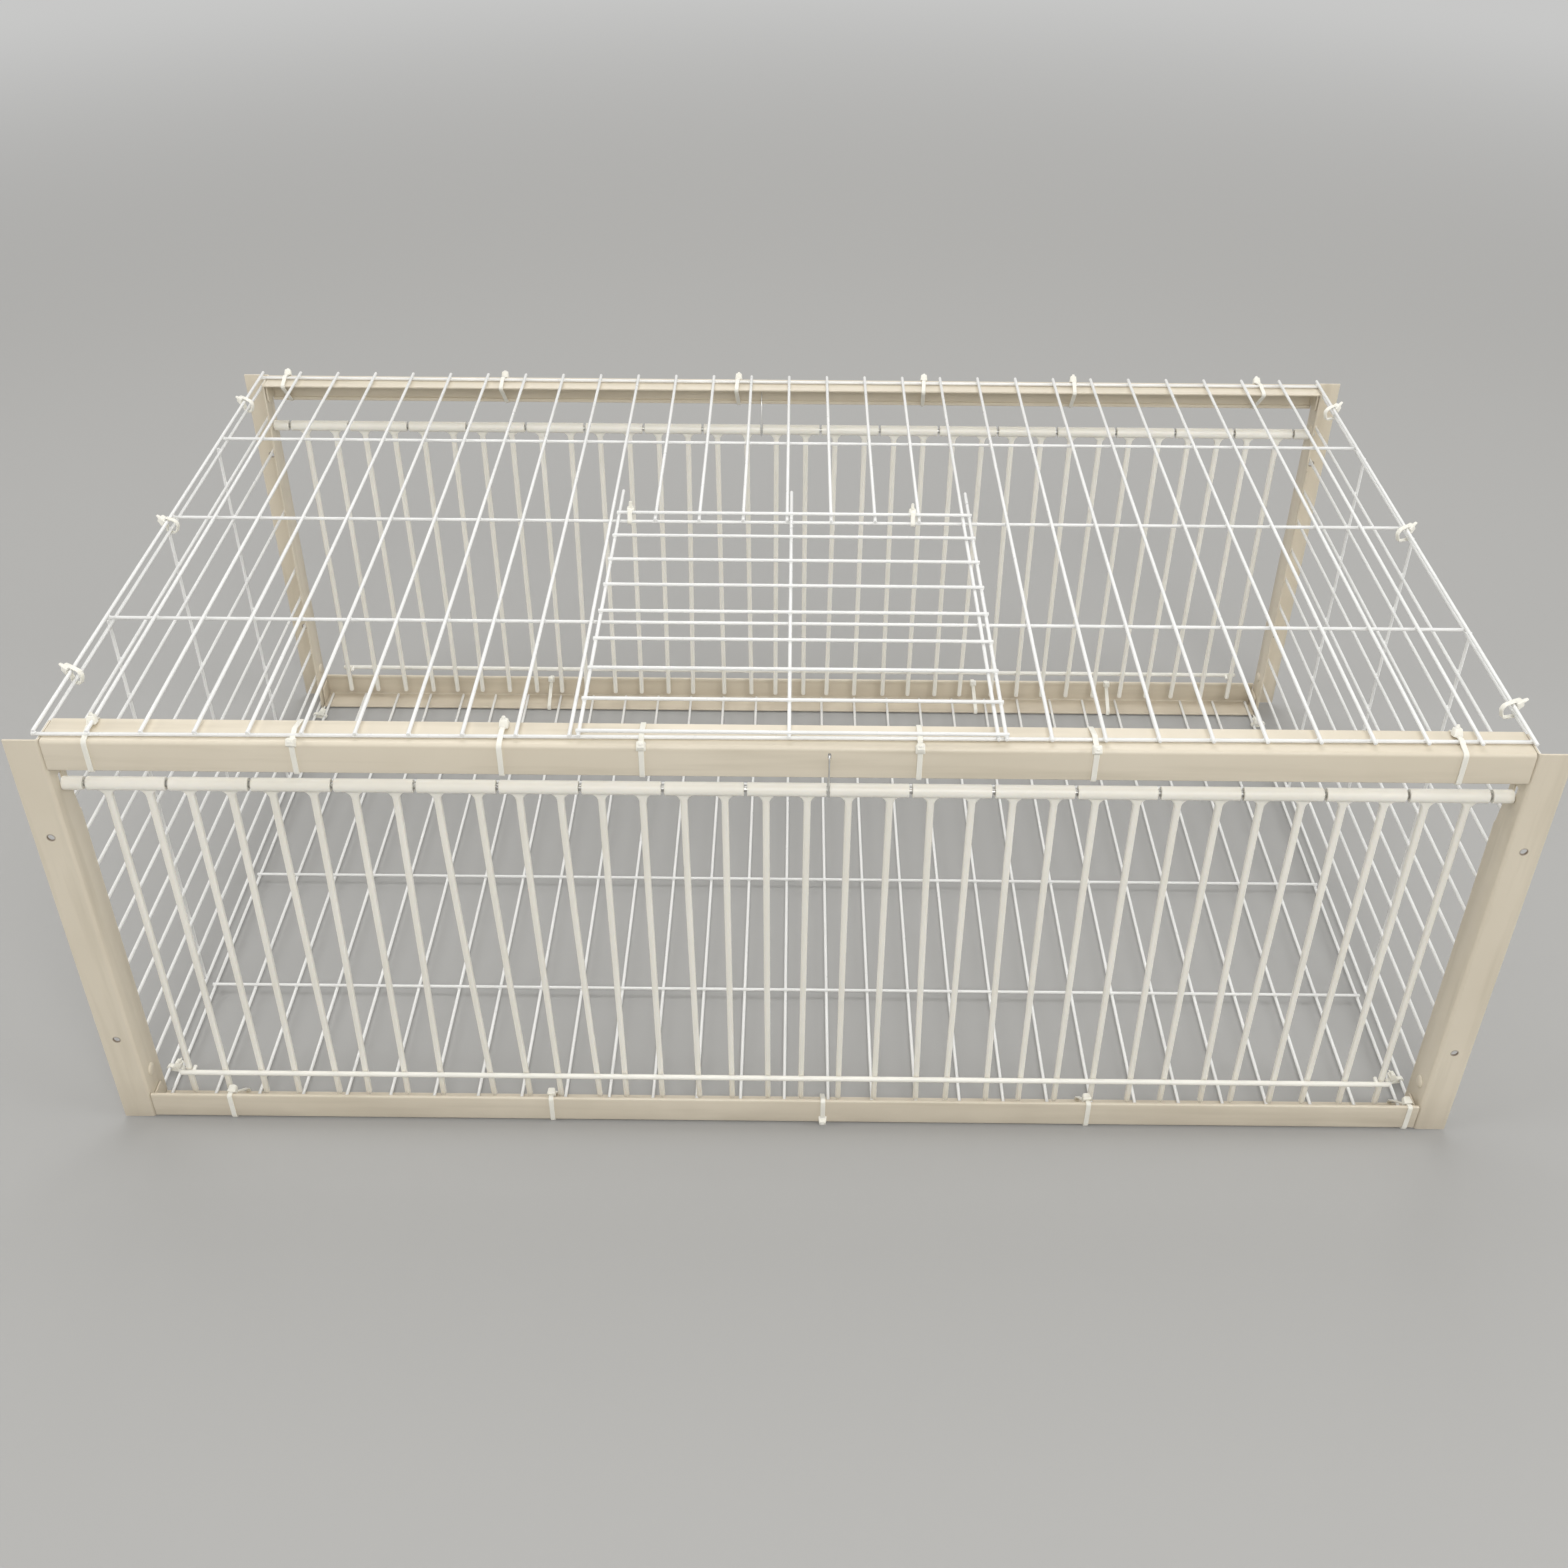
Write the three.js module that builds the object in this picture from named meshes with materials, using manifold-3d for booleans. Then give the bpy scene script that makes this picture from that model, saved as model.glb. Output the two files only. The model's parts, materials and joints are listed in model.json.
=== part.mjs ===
// Live-capture pigeon trap: a low wire cage with a row of swinging two-prong doors at the front and rear.
// Millimetres, +X along the trap, +Y to the rear, +Z up, origin under the middle of the cage.
import * as THREE from 'three';
import { mergeVertices } from 'three/addons/utils/BufferGeometryUtils.js';
import Module from 'manifold-3d';

const wasm = await Module();
wasm.setup();

// Overall size and working clearances
const trapLength = 860;
const trapDepth = 500;
const trapHeight = 300;
const fitGap = 0.3;
const overrun = 5;

// Sheet-metal angles: the uprights, and the rails between them
const sheet = 1.2;
const bendRadius = 2.5;
const stileFlange = 20;
const stileReturn = 24;
const railFace = 20.5;
const railFlange = 22;
const hemHeight = 3;
const endTabDepth = 18;
const endTabHeight = 16;
const screwHole = 4;
const upperScrewDrop = 68;
const lowerScrewHeight = 70;
const reliefStep = 1;
const reliefDepth = 4;
const reliefFootDrop = 64;
const reliefHeadDrop = 38;
const rodSlotWidth = 4.5;
const rodSlotHeight = 9.5;
const rivetRadius = 4.2;
const rivetHeight = 1.2;
const rivetCrown = 0.7;
const rivetSetback = 11;

// Doors: a barrel on the rod with two prongs below it
const doorCount = 17;
const bushLength = 11.85;
const doorSeam = 1.8;
const rodRadius = 1.8;
const rodGap = 0.3;
const rodSetback = 12;
const rodDrop = 37.5;
const rodEndReach = 4;
const barrelRadius = 4;
const prongDepth = 4;
const prongRootWidth = 4.1;
const prongTipWidth = 3.5;
const prongFillet = 6;
const prongTipHeight = 11;

// Stop bar across the outside of the prongs, hooked behind the outermost ones
const stopRadius = 1.7;
const stopHeight = 33;
const stopOverhang = 3.4;
const hookRadius = 1.2;
const hookReach = 6;

// Wire ring that hangs the middle of the rod from the top rail
const hangerRadius = 0.5;
const hangerHoleWidth = 1.8;
const hangerHoleHeight = 3.6;
const hangerHoleDrop = 5.5;
const hangerSlack = 4.1;
const hangerTail = 4;

// Welded wire mesh
const wire = 2.2;
const topOverlap = 1.6;
const floorInset = 5.4;
const panelShift = -1.8;
const wireEndGap = 1.5;
const topWireInset = 4;
const panelWireCount = 14;
const hatchWireCount = 3;
const sideWireCount = 12;
const sideWireMargin = 3;
const lidWireCount = 9;
const lidRearOffset = 4;
const lidFrontInset = 6;
const lidLeftShift = 5;
const lidRightShift = 4.3;
const lidTail = 36;
const lidNose = 2.5;

// Places of the cross wires, as shares of half the trap's depth
const topCrossShares = [-0.96, -0.488, 0.032, 0.52, 0.96];
const hatchRearShare = topCrossShares[2];
const floorCrossShares = [-0.52, -0.032, 0.456];
const sideCrossShares = [-0.48, 0, 0.48];

// Nylon ties that hinge the lid
const tieWidth = 2.5;
const tieBand = 1;
const tieHeadWidth = 4.4;
const tieHeadDepth = 4;
const tieHeadHeight = 4.6;
const tieTail = 5;
const leftTieInset = 7.4;
const rightTieInset = 4.1;

// Facets of round pieces
const bendSteps = 3;
const barrelSides = 10;
const boreSides = 6;
const rodSides = 8;
const wireSides = 6;
const hangerSides = 5;
const ringSides = 12;

// Sizes that follow from those above
const openingHalf = trapLength / 2 - stileFlange;
const depthHalf = trapDepth / 2;
const rodY = rodSetback - depthHalf;
const rodHeight = trapHeight - rodDrop;
const boreRadius = rodRadius + rodGap;
const doorPitch = (2 * (openingHalf - fitGap - bushLength) - doorSeam) / doorCount;
const barrelLength = doorPitch - doorSeam;
const wireRadius = wire / 2;
const wireCorner = wireRadius / Math.cos(Math.PI / wireSides);
const panelCrossZ = trapHeight + fitGap + wireRadius;
const panelWireZ = panelCrossZ + wire;
const lidWireZ = panelCrossZ + wire + fitGap;
const lidCrossZ = lidWireZ + wire;
const hatchRearY = hatchRearShare * depthHalf;
const lidRearY = hatchRearY + lidRearOffset;
const lidPitch = (lidRearY + depthHalf - lidFrontInset) / (lidWireCount - 1);
const meshPitch = (openingHalf + topOverlap) / panelWireCount;
const floorPitch = (openingHalf - floorInset) / panelWireCount;
const hatchBay = (hatchWireCount + 1) * meshPitch;
const lidLeftX = panelShift - hatchBay + lidLeftShift;
const lidRightX = panelShift + hatchBay + lidRightShift;
const leftTieX = lidLeftX + leftTieInset;
const rightTieX = panelShift + hatchWireCount * meshPitch - rightTieInset;

// Materials

const paint = () => new THREE.MeshStandardMaterial({ color: 0xcfc3ad, roughness: 0.5, metalness: 0.1 });
const ivory = () => new THREE.MeshStandardMaterial({ color: 0xdedbd0, roughness: 0.45, metalness: 0 });
const coating = () => new THREE.MeshStandardMaterial({ color: 0xe6e6e0, roughness: 0.4, metalness: 0.05 });
const nylon = () => new THREE.MeshStandardMaterial({ color: 0xf0eeee, roughness: 0.5, metalness: 0 });
const steel = () => new THREE.MeshStandardMaterial({ color: 0xb8b8b4, roughness: 0.35, metalness: 0.9 });

// Solids from drawn shapes

const mergeTolerance = 1e-5;

function toSolid(geometry) {
  const bare = geometry.clone();
  bare.deleteAttribute('normal');
  bare.deleteAttribute('uv');
  const merged = mergeVertices(bare, mergeTolerance);
  return new wasm.Manifold(new wasm.Mesh({
    numProp: 3,
    vertProperties: Float32Array.from(merged.attributes.position.array),
    triVerts: Uint32Array.from(merged.index.array),
  }));
}

function toGeometry(solid) {
  const mesh = solid.getMesh();
  const geometry = new THREE.BufferGeometry();
  geometry.setAttribute('position', new THREE.BufferAttribute(mesh.vertProperties, 3));
  geometry.setIndex(new THREE.BufferAttribute(mesh.triVerts, 1));
  geometry.computeVertexNormals();
  return geometry;
}

// Each plane carries an outline's two directions and the direction it is drawn along
const alongX = new THREE.Vector3(1, 0, 0);
const alongY = new THREE.Vector3(0, 1, 0);
const alongZ = new THREE.Vector3(0, 0, 1);
const planes = {
  yz: { basis: new THREE.Matrix4().makeBasis(alongY, alongZ, alongX), flip: false },
  xz: { basis: new THREE.Matrix4().makeBasis(alongX, alongZ, alongY.clone().negate()), flip: true },
  xy: { basis: new THREE.Matrix4().makeBasis(alongX, alongY, alongZ), flip: false },
};

// Draw an outline out of its plane, from one place to another along the third axis
function prism(plane, outline, from, to, hole = null) {
  const shape = new THREE.Shape(outline);
  if (hole) shape.holes.push(new THREE.Path(hole));
  const geometry = new THREE.ExtrudeGeometry(shape, { depth: to - from, bevelEnabled: false });
  geometry.translate(0, 0, planes[plane].flip ? -to : from);
  geometry.applyMatrix4(planes[plane].basis);
  return toSolid(geometry);
}

const point = (u, v) => new THREE.Vector2(u, v);

// Points of an arc, from one angle to another
function arc(u, v, radius, start, end, steps = bendSteps) {
  return Array.from({ length: steps + 1 }, (_, i) => {
    const angle = start + (end - start) * i / steps;
    return point(u + radius * Math.cos(angle), v + radius * Math.sin(angle));
  });
}

// A regular polygon, first corner at the given angle
function polygon(u, v, radius, sides, turn = 0) {
  return arc(u, v, radius, turn, turn + 2 * Math.PI, sides).slice(0, sides);
}

function rectangle(u0, v0, u1, v1) {
  return [point(u0, v0), point(u1, v0), point(u1, v1), point(u0, v1)];
}

const join = (solids) => solids.reduce((whole, solid) => whole.add(solid));
const cut = (solid, tools) => tools.reduce((rest, tool) => rest.subtract(tool), solid);

// Folded angle section: leg a runs along +u, leg b along +v, with a hem folded inward on leg b
function angleSection(legA, legB, hem) {
  const inner = bendRadius - sheet;
  const corner = arc(bendRadius, bendRadius, bendRadius, 1.5 * Math.PI, Math.PI);
  const cornerInside = arc(bendRadius, bendRadius, inner, Math.PI, 1.5 * Math.PI);
  const freeEdge = hem
    ? [
      ...arc(sheet, legB - sheet, sheet, Math.PI, 0, bendSteps + 1),
      point(2 * sheet, legB - hem),
      point(sheet, legB - hem),
    ]
    : [point(0, legB), point(sheet, legB)];
  return [point(legA, 0), ...corner, ...freeEdge, ...cornerInside, point(legA, sheet)];
}

// Upright angle at one end of a door frame; hand is -1 on the left and 1 on the right
function buildStile(hand) {
  const place = (p) => point(hand * (openingHalf + p.x), p.y - depthHalf);
  const section = angleSection(stileFlange, stileReturn, 0).map(place);
  const angle = prism('xy', section, 0, trapHeight);

  const wallFrom = hand > 0 ? openingHalf - overrun : -openingHalf - sheet - overrun;
  const wallTo = wallFrom + sheet + 2 * overrun;
  const edge = stileReturn - depthHalf;
  const relief = prism('yz', [
    point(edge + overrun, trapHeight - reliefFootDrop),
    point(edge + overrun, trapHeight + overrun),
    point(edge - reliefDepth, trapHeight + overrun),
    point(edge - reliefDepth, trapHeight - reliefHeadDrop),
    point(edge - reliefStep, trapHeight - reliefFootDrop),
  ], wallFrom, wallTo);
  const slotFoot = rodHeight - rodRadius - fitGap;
  const slot = prism('yz', rectangle(rodY - rodSlotWidth / 2, slotFoot,
    rodY + rodSlotWidth / 2, slotFoot + rodSlotHeight), wallFrom, wallTo);
  const screwX = hand * (openingHalf + stileFlange / 2);
  const holes = [trapHeight - upperScrewDrop, lowerScrewHeight].map((height) => prism('xz',
    polygon(screwX, height, screwHole / 2, rodSides), -depthHalf - overrun, overrun - depthHalf));

  return cut(angle, [relief, slot, ...holes]).add(buildRivet(hand));
}

// Rivet head on the upright's return, level with the stop bar
function buildRivet(hand) {
  const profile = [
    point(0, -sheet / 2),
    point(rivetRadius, -sheet / 2),
    point(rivetRadius, rivetHeight - rivetCrown),
    point(rivetRadius - rivetCrown, rivetHeight),
    point(0, rivetHeight),
  ];
  const head = new THREE.LatheGeometry(profile, rodSides);
  head.rotateZ(hand * Math.PI / 2);
  head.translate(hand * openingHalf, rivetSetback - depthHalf, stopHeight);
  return toSolid(head);
}

// Rail between the uprights; the top one has its hem below, the bottom one above
function buildRail(atTop) {
  const height = (w) => (atTop ? trapHeight - w : w);
  const place = (p) => point(p.x - depthHalf, height(p.y));
  const end = openingHalf - fitGap;
  const section = angleSection(railFlange, railFace, hemHeight).map(place);
  const tab = [
    point(sheet / 2, sheet / 2),
    point(endTabDepth, sheet / 2),
    point(endTabDepth, endTabHeight - bendRadius),
    point(endTabDepth - bendRadius, endTabHeight),
    point(sheet / 2, endTabHeight),
  ].map(place);
  const rail = join([
    prism('yz', section, -end, end),
    prism('yz', tab, -end, sheet - end),
    prism('yz', tab, end - sheet, end),
  ]);
  return atTop ? rail.subtract(buildHangerHole()) : rail;
}

// Hinge rod, with a bush fixed on it between each upright and the end of the row of doors
function buildHingeRod() {
  const rodReach = openingHalf + rodEndReach;
  const bushEnd = openingHalf - fitGap;
  const bush = polygon(rodY, rodHeight, barrelRadius, barrelSides);
  return join([
    prism('yz', polygon(rodY, rodHeight, rodRadius, rodSides), -rodReach, rodReach),
    prism('yz', bush, -bushEnd, bushLength - bushEnd),
    prism('yz', bush, bushEnd - bushLength, bushEnd),
  ]);
}

// Two-prong door, drawn round the middle of its barrel
function buildDoor() {
  const barrel = prism('yz', polygon(rodY, rodHeight, barrelRadius, barrelSides),
    -barrelLength / 2, barrelLength / 2, polygon(rodY, rodHeight, boreRadius, boreSides));
  const seat = rodHeight - (boreRadius + barrelRadius) / 2;
  const root = prongRootWidth / 2;
  const tip = prongTipWidth / 2;
  const prongs = [-doorPitch / 4, doorPitch / 4].map((centre) => prism('xz', [
    ...arc(centre - root - prongFillet, seat - prongFillet, prongFillet, Math.PI / 2, 0),
    ...arc(centre, prongTipHeight + tip, tip, Math.PI, 2 * Math.PI, bendSteps + 1),
    ...arc(centre + root + prongFillet, seat - prongFillet, prongFillet, Math.PI, Math.PI / 2),
  ], rodY - prongDepth / 2, rodY + prongDepth / 2));
  return join([barrel, ...prongs]);
}

// Round bar with domed ends and a hook at each end that reaches behind the outermost prong
function buildStopBar() {
  const prongX = doorMiddle(doorCount - 1) + doorPitch / 4;
  const half = prongX + stopOverhang + stopRadius;
  const y = rodY - prongDepth / 2 - fitGap - stopRadius;
  const dome = arc(0, half - stopRadius, stopRadius, 0, Math.PI / 2);
  const profile = [...dome.map((p) => point(p.x, -p.y)).reverse(), ...dome];
  profile[0].x = 0;
  profile[profile.length - 1].x = 0;
  const bar = new THREE.LatheGeometry(profile, rodSides);
  bar.rotateZ(-Math.PI / 2);
  bar.translate(0, y, stopHeight);
  const hookX = prongX - prongRootWidth / 2 - fitGap - hookRadius;
  const hooks = [-hookX, hookX].map((x) => prism('xz',
    polygon(x, stopHeight, hookRadius, wireSides), y, y + hookReach));
  return join([toSolid(bar), ...hooks]);
}

// Slot in the top rail's face for the hanger, beside the middle door
const hangerX = doorPitch / 2;
const hangerHoleZ = trapHeight - hangerHoleDrop;
function buildHangerHole() {
  return prism('xz', rectangle(hangerX - hangerHoleWidth / 2, hangerHoleZ - hangerHoleHeight / 2,
    hangerX + hangerHoleWidth / 2, hangerHoleZ + hangerHoleHeight / 2),
  -depthHalf - overrun, overrun - depthHalf);
}

// Wire route that is sampled at its own points, so that tight bends keep theirs
class WireRoute extends THREE.CatmullRomCurve3 {
  getPointAt(share) {
    return this.getPoint(share);
  }

  getTangentAt(share) {
    return this.getTangent(share);
  }
}

// Open wire ring through the rail's face and round the rod, in the seam between two doors
function buildHanger() {
  const face = -depthHalf;
  const front = face - fitGap - hangerRadius;
  const back = face + sheet + fitGap + hangerRadius;
  const railFoot = trapHeight - railFace;
  const loop = rodRadius + hangerRadius + fitGap;
  const places = [
    [back + hangerTail, hangerHoleZ + hangerRadius],
    [back, hangerHoleZ + hangerRadius],
    [face + sheet / 2, hangerHoleZ],
    [front, hangerHoleZ - hangerHoleHeight / 2],
    [front, railFoot + hangerRadius],
    [(front + rodY) / 2, (railFoot + rodHeight) / 2],
    [rodY - loop, rodHeight - loop],
    [rodY, rodHeight - rodRadius - hangerSlack],
    [rodY + loop + hangerRadius, rodHeight - loop],
    [rodY + loop + hangerRadius, rodHeight + loop],
    [rodY, railFoot],
    [back + hangerTail / 2, hangerHoleZ - hangerTail],
  ];
  const route = new WireRoute(places.map(([y, z]) => new THREE.Vector3(0, y, z)));
  const section = new THREE.Shape(polygon(0, 0, hangerRadius, hangerSides));
  const geometry = new THREE.ExtrudeGeometry(section, { steps: places.length - 1, extrudePath: route });
  geometry.translate(hangerX, 0, 0);
  return toSolid(geometry);
}

// Wire meshes

// Six-sided section; flats face along v, or along u when turned
function wireSection(u, v, turned = false) {
  return polygon(u, v, wireCorner, wireSides, turned ? Math.PI / wireSides : 0);
}

const wireAlongX = (y, z, from, to) => prism('yz', wireSection(y, z), from, to);
const wireAlongY = (x, z, from, to) => prism('xz', wireSection(x, z), from, to);
const spread = (count, pitch) => Array.from({ length: 2 * count + 1 }, (_, i) => (i - count) * pitch);

// One part of the top panel: cross wires below, front-to-back wires welded on top of them
function buildTopPart(fromX, toX, wires, frontY, crossPlaces) {
  const endY = depthHalf - topWireInset;
  return join([
    ...crossPlaces.map((y) => wireAlongX(y, panelCrossZ, fromX, toX)),
    ...wires.map((i) => wireAlongY(panelShift + i * meshPitch, panelWireZ, frontY, endY)),
  ]);
}

// Top panel in the parts that frame the hatch: both sides, the rear, and two cross wires that run over it
function buildTopPanel() {
  const reach = panelWireCount * meshPitch + wireEndGap;
  const hatchLeft = panelShift - hatchBay + wireEndGap;
  const hatchRight = panelShift + hatchBay - wireEndGap;
  const crossPlaces = topCrossShares.map((share) => share * depthHalf);
  const behindHatch = crossPlaces.filter((y) => y >= hatchRearY);
  const [frontCross, middleCross] = crossPlaces;
  const frontY = topWireInset - depthHalf;
  const beside = Array.from({ length: panelWireCount - hatchWireCount }, (_, i) => hatchWireCount + 1 + i);
  const behind = spread(hatchWireCount, 1);
  const left = beside.map((i) => -i);
  return {
    top_panel_left: buildTopPart(panelShift - reach, hatchLeft, left, frontY, crossPlaces),
    top_panel_right: buildTopPart(hatchRight, panelShift + reach, beside, frontY, crossPlaces),
    top_panel_rear: buildTopPart(hatchLeft + fitGap, hatchRight - fitGap, behind,
      hatchRearY - wireEndGap, behindHatch),
    hatch_front_wire: wireAlongX(frontCross, panelCrossZ, hatchLeft + fitGap, hatchRight - fitGap),
    hatch_middle_wire: wireAlongX(middleCross, panelCrossZ, hatchLeft + fitGap, hatchRight - fitGap),
  };
}

// Floor panel; its front-to-back wires lie on the bottom rails with the cross wires on top of them
function buildFloorPanel() {
  const lowZ = sheet + fitGap + wireRadius;
  const endY = depthHalf - topWireInset;
  const reach = panelWireCount * floorPitch + wireEndGap;
  return join([
    ...spread(panelWireCount, floorPitch).map((x) => wireAlongY(x, lowZ, -endY, endY)),
    ...floorCrossShares.map((share) => wireAlongX(share * depthHalf, lowZ + wire, -reach, reach)),
  ]);
}

// Side panel, behind the uprights' flanges and against the outside of their returns
function buildSidePanel(hand) {
  const innerX = openingHalf + sheet + fitGap + wireRadius;
  const endY = depthHalf - bendRadius - fitGap;
  const rows = sideWireCount - 1;
  const pitch = (trapHeight - 2 * sideWireMargin) / rows;
  return join([
    ...Array.from({ length: sideWireCount }, (_, i) => prism('xz',
      wireSection(hand * innerX, sideWireMargin + i * pitch, true), -endY, endY)),
    ...sideCrossShares.map((share) => prism('xy',
      wireSection(hand * (innerX + wire), share * depthHalf, true),
      sideWireMargin - wireEndGap, trapHeight - sideWireMargin + wireEndGap)),
  ]);
}

// Lid over the hatch: its three long wires rest on the panel's cross wires, beside the panel's own wires
function buildLid() {
  const middle = panelShift + 2 * wireCorner + fitGap;
  const noseY = lidRearY - (lidWireCount - 1) * lidPitch - lidNose;
  return join([
    ...[lidLeftX, middle, lidRightX].map((x) => wireAlongY(x, lidWireZ, noseY, lidRearY + lidTail)),
    ...Array.from({ length: lidWireCount }, (_, i) => wireAlongX(lidRearY - i * lidPitch, lidCrossZ,
      lidLeftX - wireEndGap, lidRightX + wireEndGap)),
  ]);
}

// Nylon tie round the lid's rear wire and the panel wire below it, with its head behind
function buildTie(x) {
  const y = (lidRearY + hatchRearY) / 2;
  const z = (lidCrossZ + panelCrossZ) / 2;
  const spanHalf = Math.hypot(lidRearY - hatchRearY, lidCrossZ - panelCrossZ) / 2;
  const inner = (spanHalf + wireRadius + fitGap) / Math.cos(Math.PI / ringSides);
  const outer = inner + tieBand;
  const band = prism('yz', polygon(y, z, outer, ringSides), x - tieWidth / 2, x + tieWidth / 2,
    polygon(y, z, inner, ringSides));
  const headY = y + outer - tieBand / 2;
  const head = prism('yz', rectangle(headY, z, headY + tieHeadDepth, z + tieHeadHeight),
    x - tieHeadWidth / 2, x + tieHeadWidth / 2);
  const tailY = headY + (tieHeadDepth - tieBand) / 2;
  const tail = prism('yz', rectangle(tailY, z + tieHeadHeight / 2, tailY + tieBand,
    z + tieHeadHeight + tieTail), x - tieWidth / 2, x + tieWidth / 2);
  return join([band, head, tail]);
}

// Assembly

const trap = new THREE.Group();

function addPiece(group, name, geometry, material, x = 0) {
  const mesh = new THREE.Mesh(geometry, material);
  mesh.name = name;
  mesh.position.x = x;
  group.add(mesh);
}

// Middle of a door by its number, counted from the left end of its frame
function doorMiddle(index) {
  return (index - (doorCount - 1) / 2) * doorPitch;
}

// One door frame seen from outside the trap; the rear one is the same frame turned round
function buildFrame(side, turn) {
  const frame = new THREE.Group();
  frame.rotation.z = turn;
  addPiece(frame, `${side}_left_stile`, toGeometry(buildStile(-1)), paint());
  addPiece(frame, `${side}_right_stile`, toGeometry(buildStile(1)), paint());
  addPiece(frame, `${side}_top_rail`, toGeometry(buildRail(true)), paint());
  addPiece(frame, `${side}_bottom_rail`, toGeometry(buildRail(false)), paint());

  addPiece(frame, `${side}_hinge_rod`, toGeometry(buildHingeRod()), steel());
  addPiece(frame, `${side}_stop_bar`, toGeometry(buildStopBar()), coating());
  addPiece(frame, `${side}_rod_hanger`, toGeometry(buildHanger()), steel());

  const door = toGeometry(buildDoor());
  for (let i = 0; i < doorCount; i += 1) {
    const number = String(i + 1).padStart(2, '0');
    addPiece(frame, `${side}_door_${number}`, door.clone(), ivory(), doorMiddle(i));
  }
  trap.add(frame);
}

buildFrame('front', 0);
buildFrame('rear', Math.PI);
for (const [name, solid] of Object.entries(buildTopPanel())) {
  addPiece(trap, name, toGeometry(solid), coating());
}
addPiece(trap, 'floor_panel', toGeometry(buildFloorPanel()), coating());
addPiece(trap, 'left_side_panel', toGeometry(buildSidePanel(-1)), coating());
addPiece(trap, 'right_side_panel', toGeometry(buildSidePanel(1)), coating());
addPiece(trap, 'lid', toGeometry(buildLid()), coating());
addPiece(trap, 'left_lid_tie', toGeometry(buildTie(leftTieX)), nylon());
addPiece(trap, 'right_lid_tie', toGeometry(buildTie(rightTieX)), nylon());

export default trap;
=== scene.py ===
# %% [markdown]
# # A two-sided pigeon trap, dressed
#
# The real trap is a low cage. Two painted sheet-metal door frames stand at the front and the
# rear, four panels of welded wire join them, and in each frame hangs a row of moulded doors
# with two prongs each. A door swings inward at a push, and the stop bar keeps it from swinging
# out.
#
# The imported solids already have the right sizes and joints, but they are coarse: six-sided
# wires and bends with three facets. This notebook builds each visible piece again in finer
# mesh, gives it a finish made of shader nodes, and hangs it on the body that it moves with.

import json
import math
import random

import bmesh
import bpy
from mathutils import Matrix, Vector

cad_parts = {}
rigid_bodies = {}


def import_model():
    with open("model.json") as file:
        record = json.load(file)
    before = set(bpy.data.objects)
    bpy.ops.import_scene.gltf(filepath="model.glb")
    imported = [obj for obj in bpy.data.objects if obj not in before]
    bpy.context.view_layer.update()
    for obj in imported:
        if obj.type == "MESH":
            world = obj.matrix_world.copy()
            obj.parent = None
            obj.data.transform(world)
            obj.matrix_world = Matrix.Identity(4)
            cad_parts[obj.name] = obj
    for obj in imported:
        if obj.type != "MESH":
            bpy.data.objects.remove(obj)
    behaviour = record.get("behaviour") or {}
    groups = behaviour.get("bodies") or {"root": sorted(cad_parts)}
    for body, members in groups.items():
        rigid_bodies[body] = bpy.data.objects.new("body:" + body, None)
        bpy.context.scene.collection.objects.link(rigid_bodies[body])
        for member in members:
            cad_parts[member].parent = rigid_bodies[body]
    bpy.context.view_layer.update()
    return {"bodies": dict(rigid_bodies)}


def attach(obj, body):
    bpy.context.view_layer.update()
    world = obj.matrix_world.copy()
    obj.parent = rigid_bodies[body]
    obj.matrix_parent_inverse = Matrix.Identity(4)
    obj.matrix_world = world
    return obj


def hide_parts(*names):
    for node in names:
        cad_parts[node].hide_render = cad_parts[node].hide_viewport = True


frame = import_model()

# %% [markdown]
# ## The camera
#
# The photograph was taken from a little above the trap, a metre in front of it. The place, the
# turns and the lens below come from fitting the straight rails and uprights to their known
# sizes. The camera was held by hand, so besides the tilt there is a quarter of a degree of yaw
# and almost half a degree of roll. A camera in Blender looks along its own -Z, which is why the
# tilt is taken from a right angle, and why the roll comes last, about the camera's own axis.

# %% Camera
SENSOR, LENS = 36.0, 38.6
CAMERA_PLACE = (0.0018, -0.9989, 0.8317)
TILT, YAW, ROLL = math.radians(36.61), math.radians(-0.255), math.radians(0.394)


def new_object(name, data):
    item = bpy.data.objects.new(name, data)
    bpy.context.scene.collection.objects.link(item)
    return item


camera = new_object("camera", bpy.data.cameras.new("camera"))
camera.data.sensor_width = SENSOR
camera.data.lens = LENS
camera.matrix_world = (Matrix.Translation(CAMERA_PLACE) @ Matrix.Rotation(-YAW, 4, "Z")
                       @ Matrix.Rotation(math.pi / 2 - TILT, 4, "X")
                       @ Matrix.Rotation(ROLL, 4, "Z"))
bpy.context.scene.camera = camera
print("camera at", tuple(round(c, 3) for c in camera.location))

# %% [markdown]
# ## Small helpers for shader nodes
#
# A shader tree is easier to read when each node is one call: a sum, a change of range, a mix of
# two shaders. The last helper is 1 for a ray from the camera or off a gloss and 0 for one that
# only carries light, so the backdrop can look brighter than the light it gives.

# %% Shader helpers
def maths(tree, operation, first, second=0.0):
    node = tree.nodes.new("ShaderNodeMath")
    node.operation = operation
    for socket, value in zip(node.inputs, (first, second)):
        if isinstance(value, (int, float)):
            socket.default_value = value
        else:
            tree.links.new(value, socket)
    return node.outputs["Value"]


def spread(tree, value, low, high, to_low, to_high, curve="LINEAR"):
    node = tree.nodes.new("ShaderNodeMapRange")
    node.interpolation_type = curve
    for socket, number in zip(("From Min", "From Max", "To Min", "To Max"),
                              (low, high, to_low, to_high)):
        node.inputs[socket].default_value = number
    tree.links.new(value, node.inputs["Value"])
    return node.outputs["Result"]


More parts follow.
